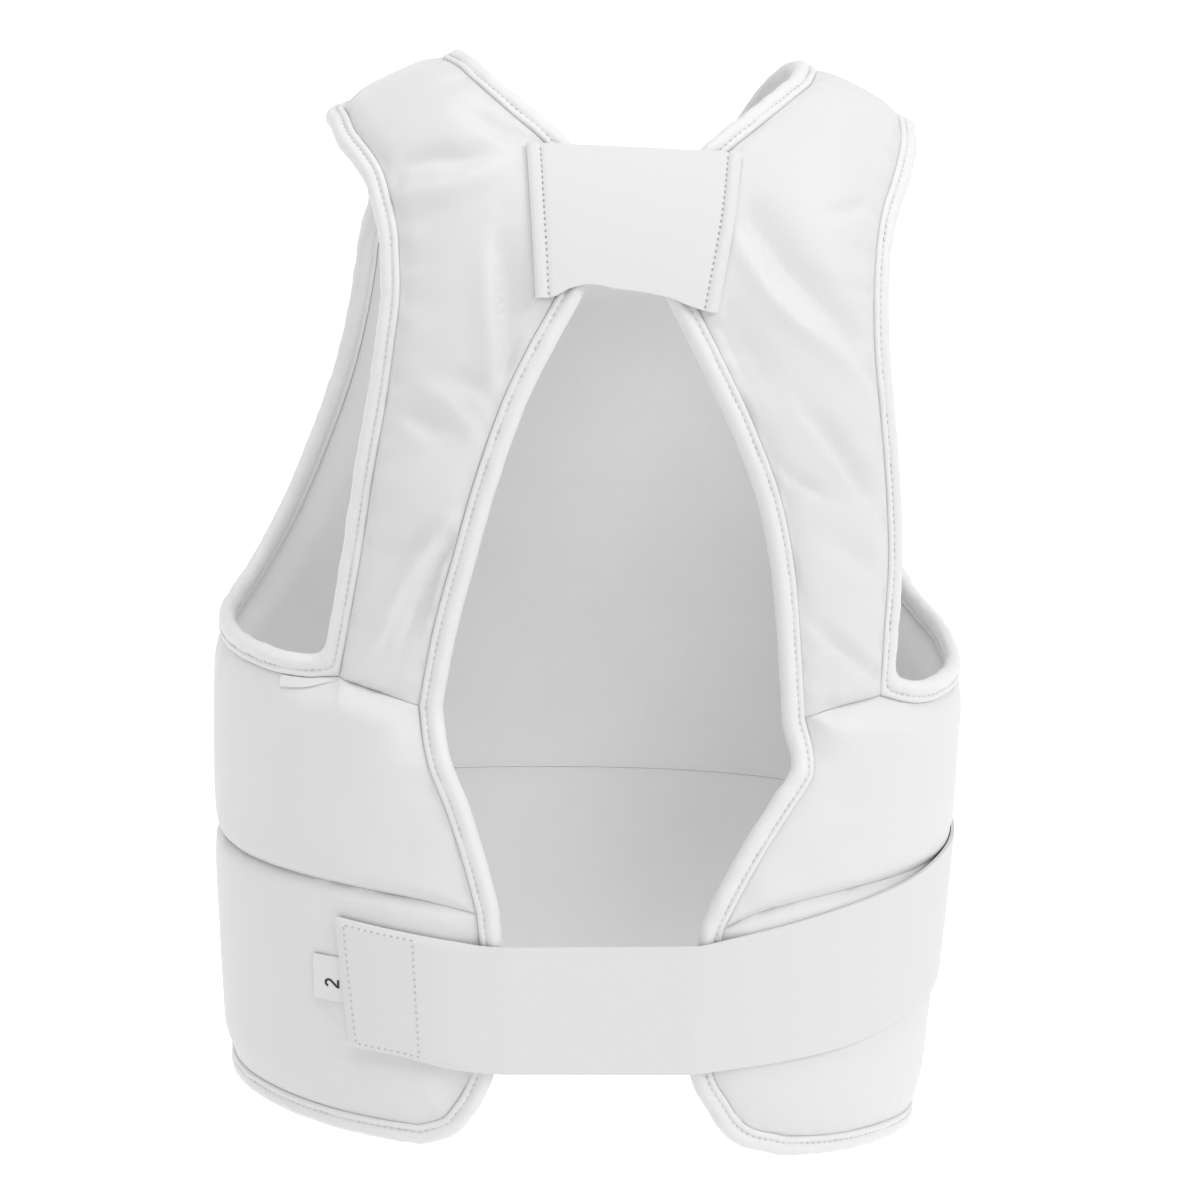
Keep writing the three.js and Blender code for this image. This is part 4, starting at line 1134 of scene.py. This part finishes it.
def overlap_piece(binding):
    """End of the binding's tape, which overlaps its start at the foot of the left armhole."""
    shape = CHEST.u.shape
    surface, out = (values[: shape[0] * shape[1]].reshape(*shape, 3) for values in (chest_top, chest_wall.out))
    corner = CORNER["left", "arm"][0]
    first, last = (WING_CELLS + (turn - corner) / (-BIB_SIDE_SHARE - corner) * SIDE_CELLS for turn in OVERLAP_TURNS)
    share, depth = np.meshgrid(evenly(30), evenly(8))
    reach = mix(OVERLAP_ROWS[0], OVERLAP_ROWS[1], share**1.4)
    rows, columns = shape[0] - 1 - depth * reach, mix(first, last, share)
    base, up = stitched_line(surface, out, rows.ravel(), columns.ravel())
    base, up = base.reshape(*share.shape, 3), up.reshape(*share.shape, 3)
    thick = OVERLAP_THICKNESS * (1 - 0.35 * depth**6) * (1 - 0.75 * smooth(0.55, 1, share))
    count = share.size
    sheet = grid_faces(np.arange(count).reshape(share.shape))
    a, b = border_of(sheet).T
    faces = np.concatenate([sheet, sheet[:, ::-1] + count, np.stack([b, a, a + count, b + count], 1)])
    points = np.concatenate([(base + up * 0.04).reshape(-1, 3), (base + up * (0.04 + thick)[..., None]).reshape(-1, 3)])
    chart = np.concatenate([np.stack([share.ravel() * 25, depth.ravel() * 6], -1)] * 2)
    made = piece("armhole_binding_left_overlap", points, turned_out(points, faces), chart, (TAPE,))
    made.parent = binding


def stitch_piece(name, line, out, pitch, material, thread=0.34, fill=0.8):
    """Row of sewn stitches: short arched lengths of thread along a line."""
    length = running_length(*line.T)
    count = max(int(length[-1] / pitch), 1)
    starts = (np.arange(count) + 0.5) * length[-1] / count
    along_shares = np.array([-0.5, -0.42, -0.22, 0.0, 0.22, 0.42, 0.5])
    widths = np.array([0.25, 0.7, 1.0, 1.0, 1.0, 0.7, 0.25]) * thread
    drops = np.array([-0.28, -0.12, 0.0, 0.03, 0.0, -0.12, -0.28])
    spots = starts[:, None] + along_shares[None] * pitch * fill
    read = lambda values, at: np.stack([np.interp(at, length, column) for column in values.T], -1)
    centre, up = read(line, spots), unit(read(out, spots))
    ahead = unit(read(line, spots + 0.3) - read(line, spots - 0.3))
    aside = unit(np.cross(ahead, up))
    centre = centre + up * drops[None, :, None]
    sides = 6
    angle = 2 * math.pi * np.arange(sides) / sides
    ring = aside[:, :, None] * np.cos(angle)[:, None] + up[:, :, None] * np.sin(angle)[:, None]
    points = centre[:, :, None] + ring * widths[None, :, None, None]
    rings = len(along_shares)
    numbers = np.arange(count * rings * sides).reshape(count, rings, sides)
    low, high = numbers[:, :-1], numbers[:, 1:]
    faces = np.stack([low, np.roll(low, -1, 2), np.roll(high, -1, 2), high], -1).reshape(-1, 4)
    first, last = numbers[:, 0], numbers[:, -1]
    ends = [first[:, [3, 2, 1, 0]], first[:, [5, 4, 3, 0]], last[:, [0, 1, 2, 3]], last[:, [0, 3, 4, 5]]]
    faces = np.concatenate([faces, *ends])
    points = points.reshape(-1, 3)
    chart = np.stack([np.broadcast_to(spots[:, :, None], (count, rings, sides)).ravel(),
                      np.broadcast_to(angle * thread, (count, rings, sides)).ravel()], -1)
    return piece(name, points, turned_out(points, faces), chart, (material,), sharp=80)


left_binding = tape_piece("armhole_binding_left", armhole_outline("left"), 1, 71)
tape_piece("armhole_binding_right", armhole_outline("right"), -1, 81)
tape_piece("outer_binding", outer_outline(), 1, 91)
overlap_piece(left_binding)


# Elastics

def waist_place(turn, down, lift):
    z = -mix(WAIST_TOP(turn), WAIST_BOTTOM(turn), down) * GARMENT_LENGTH
    at, out = on_back(turn, z)
    return at + out * np.broadcast_to(lift, z.shape)[..., None], out


EDGE_CURL = 0.5


def waist_lift(turn):
    share = smooth(PATCH_TURNS[1], WAIST_SPAN[0], turn)
    return PANEL_THICKNESS + ELASTIC_CLEARANCE + (PATCH_THICKNESS + ELASTIC_CLEARANCE) * (1 - share)


def waist_sheet(turns, downs):
    turn, down = np.meshgrid(turns, downs)
    near_end = np.clip((WAIST_SPAN[0] - turn) / (WAIST_SPAN[0] - turns[0]), 0, 1)
    turn = turn + WAIST_END_SLANT * (down - 0.5) * near_end
    height = (WAIST_BOTTOM(turn) - WAIST_TOP(turn)) * GARMENT_LENGTH
    from_edge = np.minimum(np.minimum(down, 1 - down) * height, (turn - turn[:, :1]) * HALF_GIRTH)
    spare = waist_lift(turn) - PANEL_THICKNESS - ELASTIC_CLEARANCE
    at, out = waist_place(turn, down, waist_lift(turn) - EDGE_CURL * spare * (1 - smooth(0, PATCH_INSET, from_edge)))
    start, end = WAIST_SPAN
    left = waist_place(np.full_like(turn, start), down, waist_lift(start))
    right = waist_place(np.full_like(turn, end), down, waist_lift(end))
    share = ((turn - start) / (end - start))[..., None]
    between = (share > 0) & (share < 1)
    return np.where(between, mix(left[0], right[0], share), at), np.where(between, unit(mix(left[1], right[1], share)), out)


def sheet_piece(name, at, out, thick, chart, material):
    """Closed cloth sheet of a grid of places with its thickness at each."""
    count = at.shape[0] * at.shape[1]
    numbers = np.arange(count).reshape(at.shape[:2])
    faces = grid_faces(numbers)
    border = border_of(faces)
    thick = np.broadcast_to(thick, at.shape[:2])
    points = np.concatenate([at.reshape(-1, 3), (at + out * thick[..., None]).reshape(-1, 3)])
    a, b = border[:, 0], border[:, 1]
    walls = np.stack([b, a, a + count, b + count], 1)
    faces = np.concatenate([faces, faces[:, ::-1] + count, walls])
    chart = chart.reshape(-1, 2)
    faces = turned_out(points, faces)
    made = piece(name + "_cloth", points, faces, np.concatenate([chart, chart]), (material,), sharp=50)
    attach(made, "root")
    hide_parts(name)
    return made


def waist_elastic():
    first, last = WAIST_BAND["turn"][0], WAIST_BAND["turn"][-1]
    turns = np.linspace(first, last, 180)
    downs = evenly(36)
    at, out = waist_sheet(turns, downs)
    turn, down = np.meshgrid(turns, downs)
    along = np.concatenate([[0], np.cumsum(np.linalg.norm(np.diff(at[18], axis=0), axis=1))])
    height = np.linalg.norm(np.diff(at, axis=0), axis=2).sum(0).mean()
    chart = np.stack(np.broadcast_arrays(along[None], (downs * height)[:, None]), -1)
    fold_end = 1 - smooth(2.7, 3.4, (turn - first) * HALF_GIRTH)
    selvedge = np.exp(-((np.minimum(down, 1 - down) * height - 1.2) / 0.9) ** 2)
    thick = ELASTIC_THICKNESS + 0.5 * fold_end + 0.12 * selvedge
    made = sheet_piece(
        "waist_elastic", at, out, thick, chart, ELASTIC,
    )
    surface = at + out * (thick + 0.05)[..., None]
    return made, surface, out, along, height


waist, waist_surface, waist_out, waist_along, waist_height = waist_elastic()


def waist_stitches(name, corners, pitch=2.8):
    """Stitches through corners given as (length along the elastic, length down it)."""
    corners = np.array(corners, float)
    length = running_length(*corners.T)
    spots = np.linspace(0, length[-1], int(length[-1] / 0.8) + 2)
    along, down = (np.interp(spots, length, column) for column in corners.T)
    columns = np.interp(along, waist_along, np.arange(len(waist_along)))
    rows = down / waist_height * (waist_surface.shape[0] - 1)
    line, out = stitched_line(waist_surface, waist_out, rows, columns)
    made = stitch_piece(name, line, out, pitch, SHADED_WAIST_THREAD, thread=0.32, fill=0.45)
    made.parent = waist
    return made


BOX_NEAR, BOX_FAR, BOX_EDGE = 3.8, 32.3, 2.2
waist_stitches("waist_elastic_box_stitches", (
    (BOX_NEAR, BOX_EDGE), (BOX_NEAR, waist_height - BOX_EDGE), (BOX_FAR, waist_height - BOX_EDGE),
    (BOX_FAR, BOX_EDGE), (BOX_NEAR, BOX_EDGE),
))
waist_stitches("waist_elastic_end_stitches", (
    (waist_along[-1] - 4, BOX_EDGE), (waist_along[-1] - 4, waist_height - BOX_EDGE),
))


UPPER_DRAW = through(UPPER_EDGE, "share", "drawn")


def upper_elastic():
    run, left, right = (through(UPPER_BAND, "down", key) for key in ("run", "left", "right"))
    down, share = evenly(48)[:, None], evenly(80)[None]
    x = mix(left(down), right(down), share) * TRUNK_HALF_WIDTH
    drawn_up = UPPER_DRAW(share) * down**2
    length = run(down) * mix(BACK_RUN["left_neck"], BACK_RUN["right_neck"], share) - drawn_up
    at, out = over(x, length)
    at = at + out * (STRAP_THICKNESS + ELASTIC_CLEARANCE)
    width = np.linalg.norm(np.diff(at, axis=1), axis=2).sum(1)[:, None]
    height = np.linalg.norm(np.diff(at, axis=0), axis=2).sum(0).mean()
    from_left, from_right = share * width, (1 - share) * width
    flap = 1 - smooth(4.2, 5.0, np.minimum(from_left, from_right))
    groove = np.exp(-((np.minimum(from_left, from_right) - 5.4) / 0.7) ** 2)
    edge = np.minimum(down, 1 - down) * height
    ends = np.minimum(from_left, from_right)
    thick = ELASTIC_THICKNESS + 0.6 * flap - 0.5 * groove + 0.12 * np.exp(-((edge - 1.2) / 0.9) ** 2)
    thick = thick - 0.9 * np.exp(-((ends / 0.8) ** 2))
    chart = np.stack(np.broadcast_arrays(from_left, down * height), -1)
    made = sheet_piece(
        "upper_back_elastic", at, out, thick, chart, ELASTIC,
    )
    surface = at + out * (thick + 0.05)[..., None]
    rows = np.arange(1, 48, 0.25)
    for name, inset in (("left", 5.4), ("right", -5.4)):
        widths = np.interp(rows, np.arange(49), width[:, 0])
        columns = (inset / widths if inset > 0 else 1 + inset / widths) * 80
        line, up = stitched_line(surface, out, rows, columns)
        stitches = stitch_piece("upper_back_elastic_stitches_" + name, line, up, 2.5, SHADED_UPPER_THREAD, thread=0.34, fill=0.5)
        stitches.parent = made
    return made


upper = upper_elastic()


def hook_patch():
    mean_height = GARMENT_LENGTH * (WAIST_BOTTOM(PATCH_TURNS[0]) - WAIST_TOP(PATCH_TURNS[0]))
    inset = PATCH_INSET / mean_height
    turn, down = np.meshgrid(np.linspace(*PATCH_TURNS, 24), mix(inset, 1 - inset, evenly(36)))
    at, out = waist_place(turn, down, PANEL_THICKNESS + ELASTIC_CLEARANCE)
    chart = np.stack([turn * HALF_GIRTH, down * mean_height], -1)
    edge = np.minimum(down - inset, 1 - inset - down) * mean_height
    thick = PATCH_THICKNESS - 0.25 * np.exp(-edge / 0.8)
    return sheet_piece("hook_patch", at, out, thick, chart, HOOK)


patch = hook_patch()


def size_label():
    band_end = WAIST_BAND["turn"][0]
    start = band_end - LABEL_SHOWING / HALF_GIRTH
    end = min(band_end + LABEL_TUCK / HALF_GIRTH, PATCH_TURNS[0] - 2 * SEAM_GAP / HALF_GIRTH)
    middle = -mix(WAIST_TOP(band_end), WAIST_BOTTOM(band_end), 0.5) * GARMENT_LENGTH
    turn, down = np.meshgrid(np.linspace(start, end, 20), evenly(22))
    z = middle + LABEL_HEIGHT * (0.5 - down)
    at, out = on_back(turn, z)
    free = (end - turn) / (end - start)
    lift = PANEL_THICKNESS + ELASTIC_CLEARANCE + 0.5 * free**2 + 0.25 * free * np.sin(math.pi * down)
    at = at + out * lift[..., None]
    chart = np.stack([turn * HALF_GIRTH, z], -1)
    made = sheet_piece("size_label", at, out, LABEL_THICKNESS, chart, LABEL)
    numeral_piece(made, at + out * (LABEL_THICKNESS + 0.02), out)
    return made


def numeral_piece(label, surface, out):
    """The generic size numeral 2, woven in dark thread and lying on its side."""
    bend = [(1.35 * math.cos(a), 1.3 + 1.4 * math.sin(a)) for a in np.radians(np.linspace(165, -35, 20))]
    strokes = (bend + [(-1.5, -2.2)], [(-1.9, -2.55), (1.6, -2.55)])
    rows, columns = surface.shape[0] - 1, surface.shape[1] - 1
    points, faces, charts = [], [], []
    for k, stroke in enumerate(strokes):
        stroke = np.array(stroke)
        length = running_length(*stroke.T)
        spots = np.linspace(0, length[-1], 40)
        line = np.stack([np.interp(spots, length, column) for column in stroke.T], -1)
        ahead = unit(np.gradient(line, axis=0))
        aside = np.stack([-ahead[:, 1], ahead[:, 0]], -1) * NUMERAL_STROKE / 2
        rails = np.stack([line + aside, line - aside], 1)
        across = (NUMERAL_ACROSS - rails[..., 1] / LABEL_WIDTH) * columns
        down = (NUMERAL_DOWN - rails[..., 0] / LABEL_HEIGHT) * rows
        at, up = stitched_line(surface, out, down.ravel(), across.ravel())
        numbers = np.arange(len(at)).reshape(-1, 2)
        sheet = grid_faces(numbers)
        a, b = border_of(sheet).T
        count = len(at)
        walls = np.stack([b, a, a + count, b + count], 1)
        closed = np.concatenate([sheet, sheet[:, ::-1] + count, walls])
        both = np.concatenate([at, at + up * (0.1 + 0.03 * k)])
        faces.append(turned_out(both, closed) + sum(len(part) for part in points))
        points.append(both)
        charts.append(np.concatenate([rails.reshape(-1, 2)] * 2))
    points, faces, chart = np.concatenate(points), np.concatenate(faces), np.concatenate(charts)
    made = piece("size_label_numeral", points, faces, chart, (INK,))
    made.parent = label


label = size_label()


# Camera at the photograph's angle
CAMERA_AZIMUTH, CAMERA_ELEVATION, CAMERA_ROLL = (math.radians(degrees) for degrees in (-7.0, 12.0, 2.0))
CAMERA_DISTANCE = 1.75
CAMERA_LENS = 123.81
CAMERA_AIM = Vector((0.0035, 0.0, -0.227))


def photo_camera():
    azimuth, elevation, roll = CAMERA_AZIMUTH, CAMERA_ELEVATION, CAMERA_ROLL
    level = math.cos(elevation)
    back = Vector((math.sin(azimuth) * level, -math.cos(azimuth) * level, math.sin(elevation)))
    right = Vector((math.cos(azimuth), math.sin(azimuth), 0))
    up = back.cross(right)
    turned_right = right * math.cos(roll) + up * math.sin(roll)
    turned_up = up * math.cos(roll) - right * math.sin(roll)
    data = bpy.data.cameras.new("photo_camera")
    data.sensor_width = 36.0
    data.lens = CAMERA_LENS
    data.clip_end = 400.0
    camera = bpy.data.objects.new("photo_camera", data)
    bpy.context.scene.collection.objects.link(camera)
    axes = Matrix((turned_right, turned_up, back)).transposed().to_4x4()
    camera.matrix_world = Matrix.Translation(CAMERA_AIM + back * CAMERA_DISTANCE) @ axes
    return camera


bpy.context.scene.camera = photo_camera()
bpy.context.scene.view_settings.view_transform = "Standard"

# Plain pale floor and soft studio light
FLOOR_HEIGHT = -0.78
FLOOR_SIZE = 300.0


def studio():
    half = FLOOR_SIZE / 2
    mesh = bpy.data.meshes.new("floor")
    corners = [(-half, -half, FLOOR_HEIGHT), (half, -half, FLOOR_HEIGHT), (half, half, FLOOR_HEIGHT), (-half, half, FLOOR_HEIGHT)]
    mesh.from_pydata(corners, [], [(0, 1, 2, 3)])
    floor = bpy.data.objects.new("floor", mesh)
    bpy.context.scene.collection.objects.link(floor)
    material = bpy.data.materials.new("pale_floor")
    material.use_nodes = True
    tree = material.node_tree
    shader = tree.nodes["Principled BSDF"]
    cloud = node(tree, "TexNoise", {"Scale": 9.0, "Detail": 3.0})
    ramp = node(tree, "MapRange", {"Value": cloud.outputs[0], "To Min": 0.96, "To Max": 1.0})
    paint = node(tree, "CombineColor", {"Red": ramp.outputs[0], "Green": ramp.outputs[0], "Blue": ramp.outputs[0]})
    tree.links.new(paint.outputs[0], shader.inputs["Base Color"])
    shader.inputs["Roughness"].default_value = 0.9
    mesh.materials.append(material)
    world = bpy.data.worlds.new("studio")
    world.use_nodes = True
    bpy.context.scene.world = world
    sky = world.node_tree.nodes["Background"]
    sky.inputs["Color"].default_value = (1.0, 1.0, 1.0, 1.0)
    sky.inputs["Strength"].default_value = 0.76
    for name, place, strength, spread in (
        ("key", (1.0, -0.75, 0.95), 1.35, 28.0),
        ("top", (-0.12, -0.1, 1.0), 1.6, 40.0),
    ):
        data = bpy.data.lights.new(name, "SUN")
        data.energy = strength
        data.angle = math.radians(spread)
        light = bpy.data.objects.new(name, data)
        bpy.context.scene.collection.objects.link(light)
        light.rotation_mode = "QUATERNION"
        light.rotation_quaternion = (-Vector(place)).to_track_quat("-Z", "Y")


studio()
